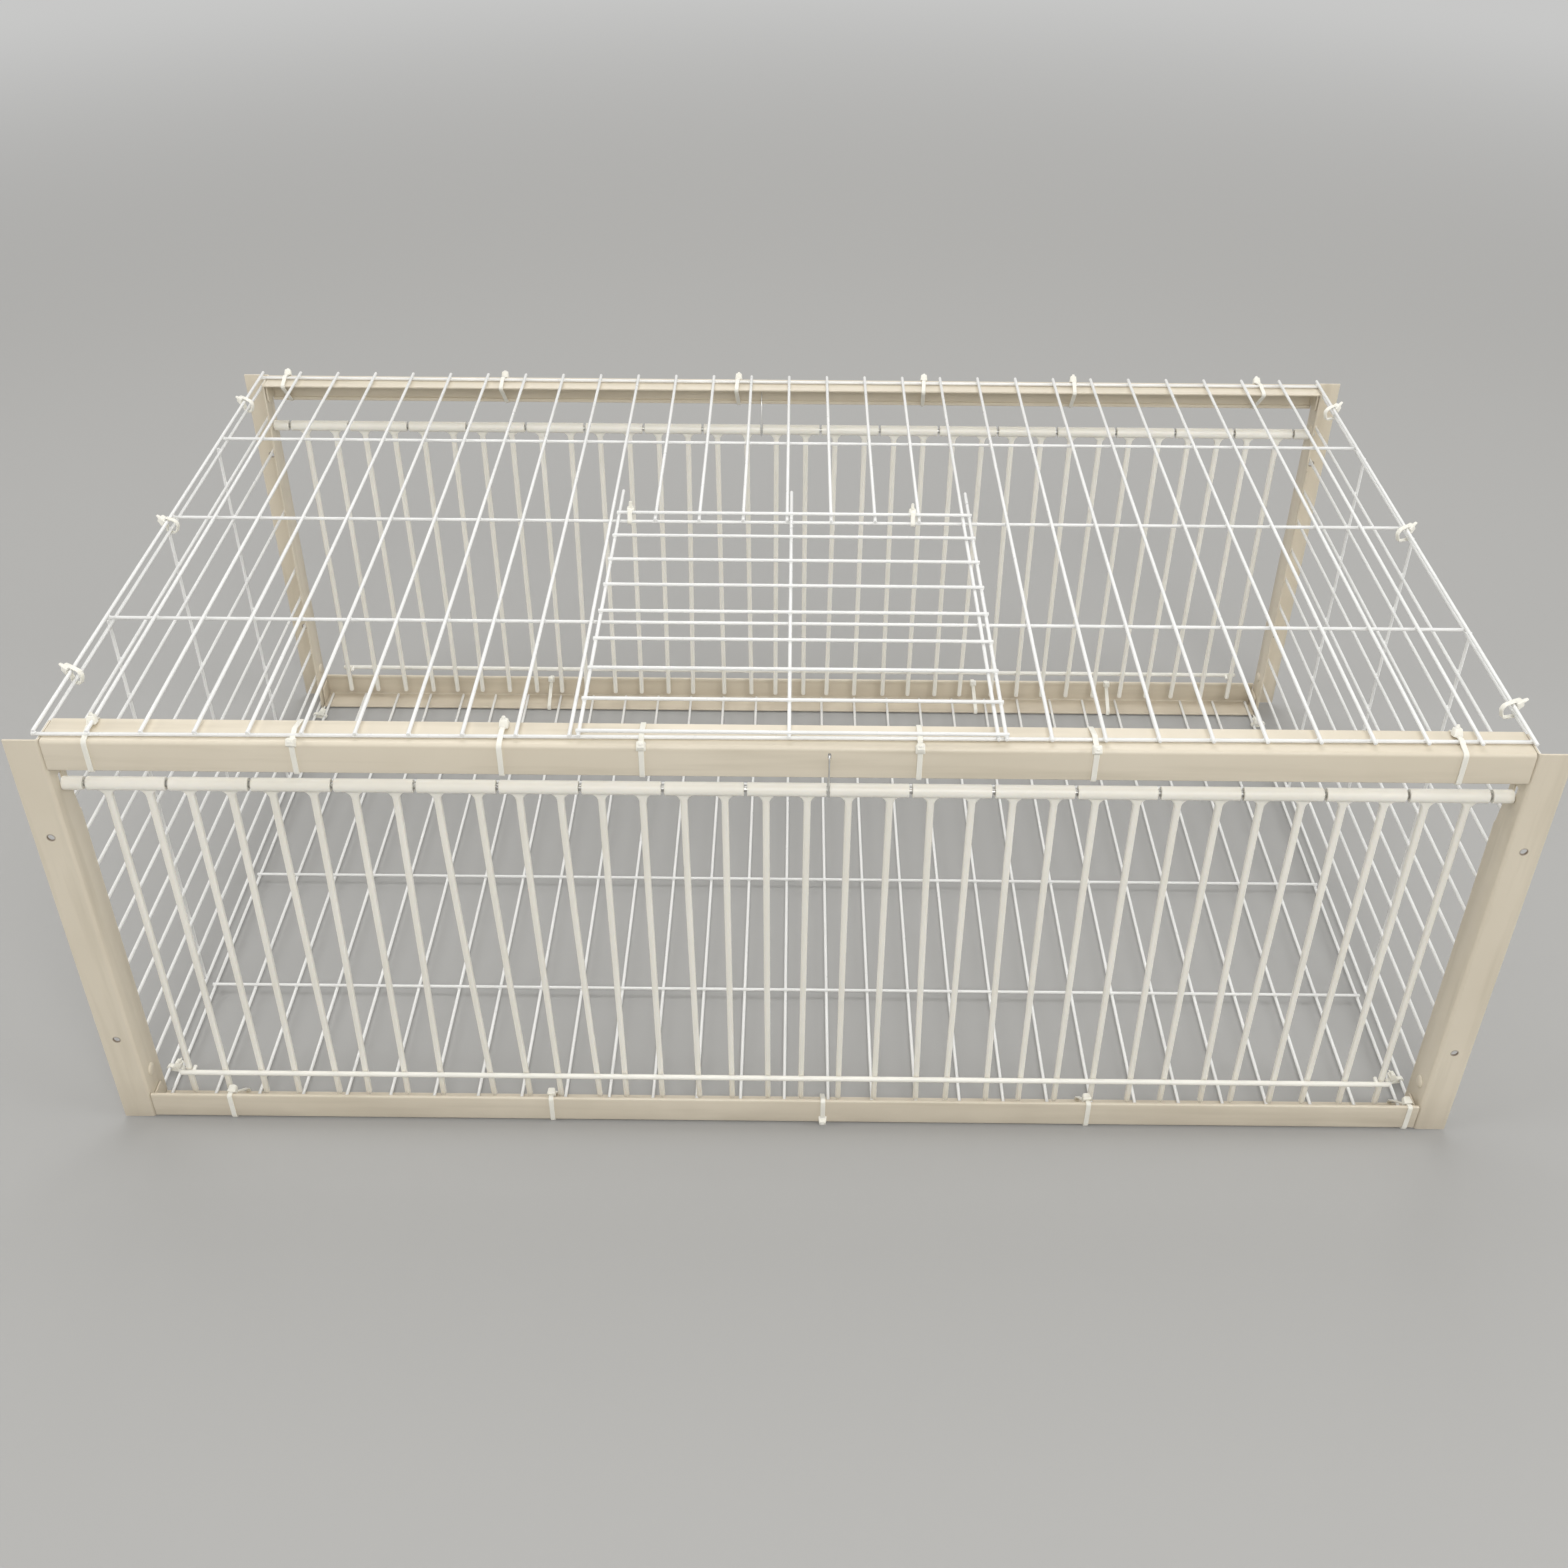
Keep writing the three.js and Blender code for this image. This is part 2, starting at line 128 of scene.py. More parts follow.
def mix_shaders(tree, share, first, second):
    node = tree.nodes.new("ShaderNodeMixShader")
    for socket, source in zip(node.inputs, (share, first, second)):
        tree.links.new(source, socket)
    return node.outputs["Shader"]


def seen_directly(tree):
    rays = tree.nodes.new("ShaderNodeLightPath")
    return maths(tree, "MAXIMUM", rays.outputs["Is Camera Ray"], rays.outputs["Is Glossy Ray"])


print("shader helpers: a sum, a range, a mix, a test of rays")

# %% [markdown]
# ## The floor
#
# White wire shows up best against a pale floor that is a shade darker than the paint, so the
# floor is a light warm grey. It lies a millimetre below the rails, because the trap stands on
# the bands of its cable ties. A floor that ends somewhere shows a horizon from the side, so far
# from the trap it passes over into the tone of the backdrop, as a studio's paper roll does.

# %% Floor
FLOOR_DROP, FLOOR_HALF = 0.0011, 4.5
FLOOR_COLOUR, FLOOR_ROUGHNESS = (0.38, 0.376, 0.365, 1.0), 0.85
BACKDROP, BACKDROP_STRENGTH = (0.93, 0.93, 0.92, 1.0), 0.62
FADE_FROM, FADE_TO = 1.3, 3.4

floor = new_object("floor", bpy.data.meshes.new("floor"))
floor.data.from_pydata([(x * FLOOR_HALF, y * FLOOR_HALF, -FLOOR_DROP)
                        for x, y in ((-1, -1), (1, -1), (1, 1), (-1, 1))], [], [(0, 1, 2, 3)])
pale_floor = bpy.data.materials.new("pale_floor")
pale_floor.use_nodes = True
tree = pale_floor.node_tree
shader = tree.nodes["Principled BSDF"]
shader.inputs["Base Color"].default_value = FLOOR_COLOUR
shader.inputs["Roughness"].default_value = FLOOR_ROUGHNESS
distance = tree.nodes.new("ShaderNodeVectorMath")
distance.operation = "LENGTH"
tree.links.new(tree.nodes.new("ShaderNodeTexCoord").outputs["Object"], distance.inputs[0])
far = spread(tree, distance.outputs["Value"], FADE_FROM, FADE_TO, 0.0, 1.0, "SMOOTHSTEP")
glow = tree.nodes.new("ShaderNodeEmission")
glow.inputs["Color"].default_value = BACKDROP
glow.inputs["Strength"].default_value = BACKDROP_STRENGTH
faded = mix_shaders(tree, maths(tree, "MULTIPLY", far, seen_directly(tree)),
                    shader.outputs["BSDF"], glow.outputs["Emission"])
tree.links.new(faded, tree.nodes["Material Output"].inputs["Surface"])
floor.data.materials.append(pale_floor)
print("floor:", 2 * FLOOR_HALF, "m square, fades from", FADE_FROM, "m on")

# %% [markdown]
# ## Lamps
#
# The light comes from five large soft panels. The one overhead makes the top flanges bright and
# leaves the faces a tone darker, as in the photograph. The one behind stands where the camera
# sees its reflection in the flanges and along the tops of the barrels and wires, which gives
# them their bright upper edge. The one in front reaches under the top rail, and the two at the
# sides light the inner leg of each upright through the mesh.

# %% Lamps
LAMPS = (("overhead", (-0.3, 1.2, 3.0), (0.0, 0.0, 0.2), (2.6, 1.4), 36.0),
         ("rear", (0.3, 2.7, 1.9), (0.0, 0.0, 0.2), (3.0, 1.2), 16.0),
         ("front", (0.4, -2.4, 2.2), (0.0, 0.0, 0.15), (2.0, 1.2), 46.0),
         ("left", (-2.6, -0.6, 1.3), (0.0, 0.0, 0.15), (1.6, 1.2), 26.0),
         ("right", (2.6, -0.6, 1.3), (0.0, 0.0, 0.15), (1.6, 1.2), 26.0))

for name, place, aim, size, watts in LAMPS:
    lamp = new_object(name, bpy.data.lights.new(name, "AREA"))
    lamp.data.shape = "RECTANGLE"
    lamp.data.size, lamp.data.size_y = size
    lamp.data.energy = watts
    lamp.location = place
    lamp.rotation_euler = (Vector(aim) - Vector(place)).to_track_quat("-Z", "Y").to_euler()
print("lamps:", [(name, watts) for name, *_, watts in LAMPS])

# %% [markdown]
# ## The world
#
# The world is an even pale grey, brighter where the camera or a reflection sees it than where
# it only gives light.

# %% World
LIGHT_COLOUR, LIGHT_STRENGTH = (0.96, 0.95, 0.93, 1.0), 0.36

world = bpy.data.worlds.new("pale_studio")
bpy.context.scene.world = world
world.use_nodes = True
tree = world.node_tree
light, backdrop = tree.nodes["Background"], tree.nodes.new("ShaderNodeBackground")
for node, colour, strength in ((light, LIGHT_COLOUR, LIGHT_STRENGTH),
                               (backdrop, BACKDROP, BACKDROP_STRENGTH)):
    node.inputs["Color"].default_value = colour
    node.inputs["Strength"].default_value = strength
either = mix_shaders(tree, seen_directly(tree), light.outputs["Background"],
                     backdrop.outputs["Background"])
tree.links.new(either, tree.nodes["World Output"].inputs["Surface"])
bpy.context.scene.view_settings.view_transform = "Standard"
print("world:", world.name)

# %% [markdown]
# ## Finishes
#
# Seven finishes cover the trap: cream paint on the sheet metal, ivory plastic for the doors,
# a white coating on the mesh and an ivory one on the stop bars, nylon for the ties, drawn steel
# for the rods and zinc for the hangers. Each is a principled shader with three layers of noise:
# a broad one that shifts the colour a little, a middle one that changes the gloss, and a fine
# one for the surface relief. The noise reads object coordinates in metres, so a scale of 900
# gives a grain of about a millimetre.

# %% A finish with three layers of noise
EVEN = (1.0, 1.0, 1.0)
GLOSS_FINER, BUMP_STRENGTH = 12, 0.6


def noise(tree, coordinates, scale, detail, stretch=EVEN):
    mapping = tree.nodes.new("ShaderNodeMapping")
    mapping.inputs["Scale"].default_value = stretch
    tree.links.new(coordinates, mapping.inputs["Vector"])
    texture = tree.nodes.new("ShaderNodeTexNoise")
    texture.inputs["Scale"].default_value = scale
    texture.inputs["Detail"].default_value = detail
    tree.links.new(mapping.outputs["Vector"], texture.inputs["Vector"])
    return texture.outputs["Fac"]


def blend_colours(tree, share, first, second):
    node = tree.nodes.new("ShaderNodeMix")
    node.data_type = "RGBA"
    tree.links.new(share, node.inputs["Factor"])
    for socket, colour in (("A", first), ("B", second)):
        target = next(i for i in node.inputs if i.name == socket and i.type == "RGBA")
        if isinstance(colour, tuple):
            target.default_value = (*colour, 1.0)
        else:
            tree.links.new(colour, target)
    return next(o for o in node.outputs if o.type == "RGBA")


def finish_material(name, light, dark, gloss, grain, relief, broad=9.0, stretch=EVEN):
    """light and dark are the two ends of the colour, gloss the two ends of the roughness,
    grain the scale of the fine noise and relief its height in metres."""
    material = bpy.data.materials.new(name)
    material.use_nodes = True
    tree = material.node_tree
    shader = tree.nodes["Principled BSDF"]
    place = tree.nodes.new("ShaderNodeTexCoord").outputs["Object"]
    tone = spread(tree, noise(tree, place, broad, 4.0, stretch), 0.35, 0.65, 0.0, 1.0)
    tree.links.new(blend_colours(tree, tone, light, dark), shader.inputs["Base Color"])
    sheen = spread(tree, noise(tree, place, broad * GLOSS_FINER, 3.0, stretch), 0.3, 0.7, *gloss)
    tree.links.new(sheen, shader.inputs["Roughness"])
    bump = tree.nodes.new("ShaderNodeBump")
    bump.inputs["Strength"].default_value = BUMP_STRENGTH
    bump.inputs["Distance"].default_value = relief
    tree.links.new(noise(tree, place, grain, 2.0, stretch), bump.inputs["Height"])
    tree.links.new(bump.outputs["Normal"], shader.inputs["Normal"])
    return material, tree, shader


print("the gloss noise is", GLOSS_FINER, "times finer than the colour noise")

# %% [markdown]
# ### Main sizes
#
# The paint has to know where the uprights and their screw holes are, so the main sizes of the
# frame come first. Pieces are drawn in millimetres, as a maker would, and MM turns them into
# the metres that Blender uses.

# %% Main sizes, in millimetres
MM = 0.001
HALF_LENGTH, HALF_DEPTH, HEIGHT = 430.0, 250.0, 300.0
FLANGE = 20.0
OPENING = HALF_LENGTH - FLANGE
HOLE_X, HOLE_HEIGHTS, HOLE_RADIUS = OPENING + FLANGE / 2, (232.0, 70.0), 2.0
print("frames:", 2 * HALF_LENGTH, "x", HEIGHT, "mm, and", 2 * HALF_DEPTH, "mm apart outside")

# %% [markdown]
# ### Cream paint on sheet metal
#
# The paint is baked powder on rolled sheet: an even cream with a faint orange peel. Handling
# leaves soft streaks that run along each strip, so they follow X on the rails and Z on the
# uprights, and which of the two shows is decided by how far out a point lies. All of this is
# worked out from object coordinates, so it stays with the piece when the piece moves.

# %% Cream paint with its streaks
STREAK_COLOUR, STREAK_SHARE = (0.5, 0.44, 0.33), 0.42
ALONG_X, ALONG_Z = (0.06, 1.0, 1.0), (1.0, 1.0, 0.06)


def stain(tree, shader, share, colour):
    """Lays a colour over what the shader's base colour shows so far."""
    under = shader.inputs["Base Color"].links[0].from_socket
    tree.links.new(blend_colours(tree, share, under, colour), shader.inputs["Base Color"])


def streaks_along(tree, place, stretch, where):
    lines = spread(tree, noise(tree, place, 110.0, 5.0, stretch), 0.5, 0.72, 0.0, STREAK_SHARE)
    return maths(tree, "MULTIPLY", lines, where)


cream_paint, tree, shader = finish_material(
    "cream_paint", (0.715, 0.645, 0.52), (0.67, 0.6, 0.475), (0.36, 0.54),
    grain=700.0, relief=0.00005)
shader.inputs["Coat Weight"].default_value = 0.12
shader.inputs["Coat Roughness"].default_value = 0.3
place = next(n for n in tree.nodes if n.type == "TEX_COORD").outputs["Object"]
axes = tree.nodes.new("ShaderNodeSeparateXYZ")
tree.links.new(place, axes.inputs["Vector"])
across = maths(tree, "ABSOLUTE", axes.outputs["X"])
on_upright = maths(tree, "GREATER_THAN", across, (OPENING - 0.2) * MM)
on_rail = maths(tree, "SUBTRACT", 1.0, on_upright)
streaks = maths(tree, "ADD", streaks_along(tree, place, ALONG_X, on_rail),
                streaks_along(tree, place, ALONG_Z, on_upright))
stain(tree, shader, streaks, STREAK_COLOUR)
print("finish:", cream_paint.name)

# %% [markdown]
# Grime settles near the ground, in patches. That darkening near the ground is partly grime and
# partly painted shade, for the shade that falls on the foot of each rail. The dark ring round
# each screw hole is painted shade that stands in for the dark inside the hole. The ring is
# strongest at the edge of the hole and gone about half a radius further out.

# %% Grime and painted shade on the paint
GRIME_AND_SHADE_COLOUR, HOLE_SHADE_COLOUR = (0.42, 0.36, 0.28), (0.13, 0.09, 0.06)
GRIME_AND_SHADE_TOP = 0.035

# Near the ground the paint darkens: partly grime, partly painted shade on the foot of each rail.
near_ground = spread(tree, axes.outputs["Z"], 0.0, GRIME_AND_SHADE_TOP, 1.0, 0.0)
patches = spread(tree, noise(tree, place, 45.0, 6.0, (0.4, 1.0, 1.0)), 0.35, 0.7, 0.22, 0.55)
stain(tree, shader, maths(tree, "MULTIPLY", near_ground, patches), GRIME_AND_SHADE_COLOUR)

# Painted shade: a dark ring round each screw hole stands in for the dark inside the hole.
beside = maths(tree, "SUBTRACT", across, HOLE_X * MM)
rises = [maths(tree, "ABSOLUTE", maths(tree, "SUBTRACT", axes.outputs["Z"], height * MM))
         for height in HOLE_HEIGHTS]
above = maths(tree, "MINIMUM", *rises)
squared = maths(tree, "ADD", maths(tree, "MULTIPLY", beside, beside),
                maths(tree, "MULTIPLY", above, above))
ring = spread(tree, maths(tree, "SQRT", squared), HOLE_RADIUS * 1.02 * MM,
              HOLE_RADIUS * 1.45 * MM, 0.85, 0.0)
stain(tree, shader, ring, HOLE_SHADE_COLOUR)
print("grime up to", GRIME_AND_SHADE_TOP, "m, rings at", HOLE_HEIGHTS, "mm")

# %% [markdown]
# ### Ivory plastic, white coating, nylon and steel
#
# The doors are injection moulded, so they are a little translucent and smoother than paint.
# The wire is coated thickly, and its coating runs together at the welds. Nylon lets light
# through, which subsurface scattering shows at low cost. Drawn steel has fine lines along the
# wire, so its noise is stretched along X.

# %% The other finishes
ivory_plastic, tree, shader = finish_material(
    "ivory_plastic", (0.86, 0.835, 0.76), (0.81, 0.785, 0.705), (0.3, 0.44),
    grain=1500.0, relief=0.00002, broad=14.0)
shader.inputs["Subsurface Weight"].default_value = 0.12
shader.inputs["Subsurface Radius"].default_value = (0.9, 0.8, 0.6)
shader.inputs["Subsurface Scale"].default_value = 0.0012

white_coating, tree, shader = finish_material(
    "white_coating", (0.83, 0.83, 0.81), (0.77, 0.77, 0.75), (0.26, 0.42),
    grain=1100.0, relief=0.00004, broad=20.0)
shader.inputs["Coat Weight"].default_value = 0.25
shader.inputs["Coat Roughness"].default_value = 0.2

white_nylon, tree, shader = finish_material(
    "white_nylon", (0.84, 0.82, 0.74), (0.79, 0.77, 0.69), (0.34, 0.5),
    grain=1800.0, relief=0.00002, broad=60.0)
shader.inputs["Subsurface Weight"].default_value = 0.3
shader.inputs["Subsurface Radius"].default_value = (1.0, 1.0, 0.9)
shader.inputs["Subsurface Scale"].default_value = 0.0015

drawn_steel, tree, shader = finish_material(
    "drawn_steel", (0.6, 0.6, 0.58), (0.46, 0.45, 0.43), (0.25, 0.5),
    grain=900.0, relief=0.00002, broad=50.0, stretch=(0.08, 1.0, 1.0))
shader.inputs["Metallic"].default_value = 1.0

ivory_coating, tree, shader = finish_material(
    "ivory_coating", (0.86, 0.84, 0.77), (0.8, 0.78, 0.71), (0.3, 0.45),
    grain=1100.0, relief=0.00004, broad=20.0)
shader.inputs["Coat Weight"].default_value = 0.2
shader.inputs["Coat Roughness"].default_value = 0.25

zinc, tree, shader = finish_material(
    "zinc", (0.78, 0.78, 0.76), (0.6, 0.6, 0.58), (0.3, 0.5),
    grain=1400.0, relief=0.00002, broad=90.0)
shader.inputs["Metallic"].default_value = 0.8
print("finishes:", [m.name for m in bpy.data.materials if m.use_nodes])

# %% [markdown]
# ## From outlines to pieces
#
# Everything on this trap is a section swept along a line: a circle for wire, a folded strip for
# the angles, a rounded rectangle for a prong. One loft function is enough for all of them. It
# takes rings with the same number of points and joins each ring to the next.

# %% Stock, its loft, and arcs
class Stock:
    """Points and faces of a piece that is being drawn, in millimetres."""

    def __init__(self):
        self.points = []
        self.faces = []

    def loft(self, rings, closed=False):
        first, size, count = len(self.points), len(rings[0]), len(rings)
        for ring in rings:
            self.points.extend(ring)
        for i in range(count if closed else count - 1):
            here, there = first + i * size, first + (i + 1) % count * size
            for j in range(size):
                k = (j + 1) % size
                self.faces.append((here + j, here + k, there + k, there + j))
        if not closed:
            last = first + (count - 1) * size
            self.faces.append(tuple(first + j for j in reversed(range(size))))
            self.faces.append(tuple(last + j for j in range(size)))


def polar(u, v, radius, start, end, steps):
    return [(u + radius * math.cos(start + (end - start) * i / steps),
             v + radius * math.sin(start + (end - start) * i / steps)) for i in range(steps + 1)]


print("a half turn in 4 steps has", len(polar(0, 0, 1, 0, math.pi, 4)), "points")

# %% [markdown]
# A mesh becomes a piece when it has a finish in a material slot, a body to ride on, and, if it
# stands for imported solids, their names. The rear frame is the front one turned half round, so a
# mesh may be turned before it becomes a piece.

# %% Mesh and piece
SHARP = math.radians(38)
SIDES = (("front", False), ("rear", True))
HANDS = ((-1, "left"), (1, "right"))
TURNED = Matrix.Rotation(math.pi, 4, "Z")


def make_mesh(name, stock, turn=False):
    mesh = bpy.data.meshes.new(name)
    mesh.from_pydata([[c * MM for c in p] for p in stock.points], [], stock.faces)
    work = bmesh.new()
    work.from_mesh(mesh)
    bmesh.ops.recalc_face_normals(work, faces=work.faces)
    work.to_mesh(mesh)
    work.free()
    mesh.shade_smooth()
    mesh.set_sharp_from_angle(angle=SHARP)
    if turn:
        mesh.transform(TURNED)
    return mesh


def add_piece(name, mesh, material, body, stands_for=()):
    piece = new_object(name, mesh)
    if not mesh.materials:
        mesh.materials.append(material)
    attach(piece, body)
    if stands_for:
        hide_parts(*stands_for)
    return piece


print("edges sharper than", round(math.degrees(SHARP)), "degrees stay crisp")

# %% [markdown]
# ### Round bar and weld bead
#
# A straight wire is a stack of circles. The two ends are cut and then coated, so the last bit
# of each end is rounded over. Two unit vectors across the bar place the circles. Where two wires
# are welded the coating gathers, and a flattened ball is enough to show that.

# %% Round bar and bead
BAR_SIDES, END_STEPS = 16, 3
BEAD_SIDES, BEAD_STEPS = 10, 6


def circle(centre, across, up, radius, sides):
    return [centre + radius * (across * math.cos(2 * math.pi * i / sides)
                               + up * math.sin(2 * math.pi * i / sides)) for i in range(sides)]


def ring_round_x(x, y, z, radius, sides):
    turns = [2 * math.pi * i / sides for i in range(sides)]
    return [Vector((x, y + radius * math.cos(turn), z + radius * math.sin(turn)))
            for turn in turns]


def cross_axes(direction):
    up = Vector((0, 0, 1)) if abs(direction.z) < 0.9 else Vector((0, 1, 0))
    across = direction.cross(up).normalized()
    return across, across.cross(direction).normalized()


def add_bar(stock, start, end, radius, rounding, sides=BAR_SIDES):
    start, end = Vector(start), Vector(end)
    direction = (end - start).normalized()
    across, up = cross_axes(direction)
    near, far = [], []
    for i in range(END_STEPS + 1):
        angle = math.pi / 2 * i / END_STEPS
        inset, shrink = rounding * (1 - math.cos(angle)), rounding * (1 - math.sin(angle))
        near.append(circle(start + direction * inset, across, up, radius - shrink, sides))
        far.append(circle(end - direction * inset, across, up, radius - shrink, sides))
    stock.loft(near + far[::-1])


def add_bead(stock, centre, size):
    rings = []
    for i in range(1, BEAD_STEPS):
        angle = math.pi * i / BEAD_STEPS
        wide, high = math.sin(angle), math.cos(angle)
        turns = [2 * math.pi * j / BEAD_SIDES for j in range(BEAD_SIDES)]
        rings.append([Vector((centre[0] + size[0] * wide * math.cos(turn),
                              centre[1] + size[1] * wide * math.sin(turn),
                              centre[2] + size[2] * high)) for turn in turns])
    stock.loft(rings)


print("a bar has", BAR_SIDES, "sides, a bead", BEAD_SIDES)

# %% [markdown]
# ## The sheet-metal door frames
#
# Each frame is four angles of 1.2 mm sheet. The section below is the same for all of them: two
# legs that meet in a bend of 2.5 mm, and on a rail a hem, where the free edge is folded back on
# itself so that it is not sharp. Extruding a section is better than bending a plate here,
# because the thickness stays even round the bend.

# %% Section of an angle
GAP = 0.3
SHEET, BEND = 1.2, 2.5
RETURN = 24.0
RAIL_FACE, RAIL_FLANGE, HEM = 20.5, 22.0, 3.0
BEND_STEPS = 10


def angle_section(leg_a, leg_b, hem):
    corner = polar(BEND, BEND, BEND, 1.5 * math.pi, math.pi, BEND_STEPS)
    inside = polar(BEND, BEND, BEND - SHEET, math.pi, 1.5 * math.pi, BEND_STEPS)
    if hem:
        edge = polar(SHEET, leg_b - SHEET, SHEET, math.pi, 0, BEND_STEPS)
        edge += [(2 * SHEET, leg_b - hem), (SHEET, leg_b - hem)]
    else:
        edge = [(0.0, leg_b), (SHEET, leg_b)]
    return [(leg_a, 0.0), *corner, *edge, *inside, (leg_a, SHEET)]


print("points round a rail:", len(angle_section(RAIL_FLANGE, RAIL_FACE, HEM)))

# %% [markdown]
# Slots and holes are cut with exact booleans, and the same helper joins shapes to each other.
# A narrow bevel then rounds every sheared edge, because powder paint never leaves a sharp
# corner.

# %% Cutting, joining and soft edges
SOFT_EDGE = 0.22


def carve(piece, cutters, operation="DIFFERENCE"):
    tools = []
    for stock in cutters:
        tool = new_object("cutter", make_mesh("cutter", stock))
        cut = piece.modifiers.new("cut", "BOOLEAN")
        cut.operation, cut.solver, cut.object = operation, "EXACT", tool
        tools.append(tool)
    solid = piece.evaluated_get(bpy.context.evaluated_depsgraph_get())
    mesh = bpy.data.meshes.new_from_object(solid)
    piece.modifiers.clear()
    piece.data = mesh
    for tool in tools:
        bpy.data.objects.remove(tool)
    mesh.shade_smooth()
    mesh.set_sharp_from_angle(angle=SHARP)


def finish_sheet(piece, turn):
    if turn:
        piece.data.transform(TURNED)
    bevel = piece.modifiers.new("soft_edges", "BEVEL")
    bevel.width = SOFT_EDGE * MM
    bevel.segments = 2
    bevel.limit_method = "ANGLE"
    bevel.angle_limit = math.radians(50)
    bevel.harden_normals = True
    return piece


def prism(outline, place, ends):
    """place turns (a, b, end) into a point, for each (a, b) of the outline."""
    stock = Stock()
    stock.loft([[Vector(place(a, b, end)) for a, b in outline] for end in ends])
    return stock


print("soft edges:", SOFT_EDGE, "mm")

# %% [markdown]
# ### Uprights
#
# An upright has a flange that faces the viewer and a return that runs inward. Its return is
# relieved towards the top and slotted for the hinge rod, and the flange has two screw holes.

# %% Uprights, both frames
ROD_Y, ROD_Z, ROD_RADIUS = 12.0 - HALF_DEPTH, 262.5, 1.8
RETURN_EDGE, SLOT_FOOT = RETURN - HALF_DEPTH, ROD_Z - ROD_RADIUS - GAP
SLOT_HALF, SLOT_TALL = 2.25, 9.5
RELIEF = [(RETURN_EDGE + 5, 236), (RETURN_EDGE + 5, 305), (RETURN_EDGE - 4, 305),
          (RETURN_EDGE - 4, 262), (RETURN_EDGE - 1, 236)]
ROD_SLOT = [(ROD_Y - SLOT_HALF, SLOT_FOOT + 1), (ROD_Y - 1, SLOT_FOOT), (ROD_Y + 1, SLOT_FOOT),
            (ROD_Y + SLOT_HALF, SLOT_FOOT + 1), (ROD_Y + SLOT_HALF, SLOT_FOOT + SLOT_TALL),
            (ROD_Y - SLOT_HALF, SLOT_FOOT + SLOT_TALL)]


def upright_piece(side, hand, name, turn):
    section = angle_section(FLANGE, RETURN, 0)
    stock = prism(section, lambda a, b, z: (hand * (OPENING + a), b - HALF_DEPTH, z),
                  (0.0, HEIGHT))
    wall = sorted((hand * (OPENING - 5), hand * (OPENING + 6)))
    cutters = [prism(outline, lambda y, z, x: (x, y, z), wall) for outline in (RELIEF, ROD_SLOT)]
    for height in HOLE_HEIGHTS:
        hole = Stock()
        add_bar(hole, (hand * HOLE_X, -HALF_DEPTH - 5, height),
                (hand * HOLE_X, 5 - HALF_DEPTH, height), HOLE_RADIUS, 0.01, 24)
        cutters.append(hole)
    piece = add_piece(f"{side}_{name}_upright", make_mesh("upright", stock), cream_paint,
                      "cage", [f"{side}_{name}_stile"])
    carve(piece, cutters)
    return finish_sheet(piece, turn)


for side, turn in SIDES:
    for hand, name in HANDS:
        made = upright_piece(side, hand, name, turn)
        print(made.name, len(made.data.vertices), "points")

# %% [markdown]
# ### Rails
#
# The rails run between the uprights, the top one with its hem down and the bottom one with its
# hem up. A tab is folded in at each end and riveted to the upright. The tab overlaps the
# extrusion by half the sheet, which reads as one bent piece. The top rail has a slot beside the
# middle door for the wire that hangs the rod.

# %% One rail
TAB = [(SHEET / 2, SHEET / 2), (18.0, SHEET / 2), *polar(15.5, 13.5, 2.5, 0, math.pi / 2, 6),
       (SHEET / 2, 16.0)]
HANGER_SLOT = [(22.45, 292.7), (24.25, 292.7), (24.25, 296.3), (22.45, 296.3)]


def rail_piece(side, at_top, turn):
    def rail_point(a, b, x):
        return x, a - HALF_DEPTH, HEIGHT - b if at_top else b

    end = OPENING - GAP
    stock = prism(angle_section(RAIL_FLANGE, RAIL_FACE, HEM), rail_point, (-end, end))
    for x in (-end, end - SHEET):
        stock.loft([[Vector(rail_point(a, b, x + t)) for a, b in TAB] for t in (0, SHEET)])
    name = "top" if at_top else "bottom"
    piece = add_piece(f"{side}_{name}_angle", make_mesh("rail", stock), cream_paint,
                      "cage", [f"{side}_{name}_rail"])
    if at_top:
        carve(piece, [prism(HANGER_SLOT, lambda x, z, y: (x, y, z), (-255, -245))])
    return finish_sheet(piece, turn)


print("rails are", round(2 * (OPENING - GAP), 1), "mm long")

# %% [markdown]
# A rivet head is a low dome turned about its own axis, so a few pairs of height and radius
# describe it.

# %% Rails and rivets, both frames
RIVET_Y, RIVET_Z, RIVET_SIDES = 11 - HALF_DEPTH, 33, 20
RIVET_DOME = [(-0.6, 4.2), (0.35, 4.2), (0.8, 3.7), (1.1, 2.8), (1.25, 1.6), (1.3, 0.4)]


def rivet_piece(side, hand, name, turn):
    stock = Stock()
    stock.loft([ring_round_x(hand * (OPENING - out), RIVET_Y, RIVET_Z, radius, RIVET_SIDES)
                for out, radius in RIVET_DOME])
    return add_piece(f"{side}_{name}_rivet", make_mesh("rivet", stock, turn), cream_paint,
                     "cage")


for side, turn in SIDES:
    for at_top in (True, False):
        made = rail_piece(side, at_top, turn)
        print(made.name, len(made.data.vertices), "points")
    for hand, name in HANDS:
        rivet_piece(side, hand, name, turn)

# %% [markdown]
# ## The doors
#
# A door is one ivory moulding: a barrel on the rod and two prongs. The barrel is a tube with
# chamfered ends, lofted as a closed loop of rings so that it has a bore.

# %% Sizes of a door, and a tube
DOORS = 17
SEAM = 1.8
BUSH = 11.85
PITCH = (2 * (OPENING - GAP - BUSH) - SEAM) / DOORS
BARREL_RADIUS, BORE_RADIUS = 4.0, 2.1
TUBE_SIDES, CHAMFER = 32, 0.35


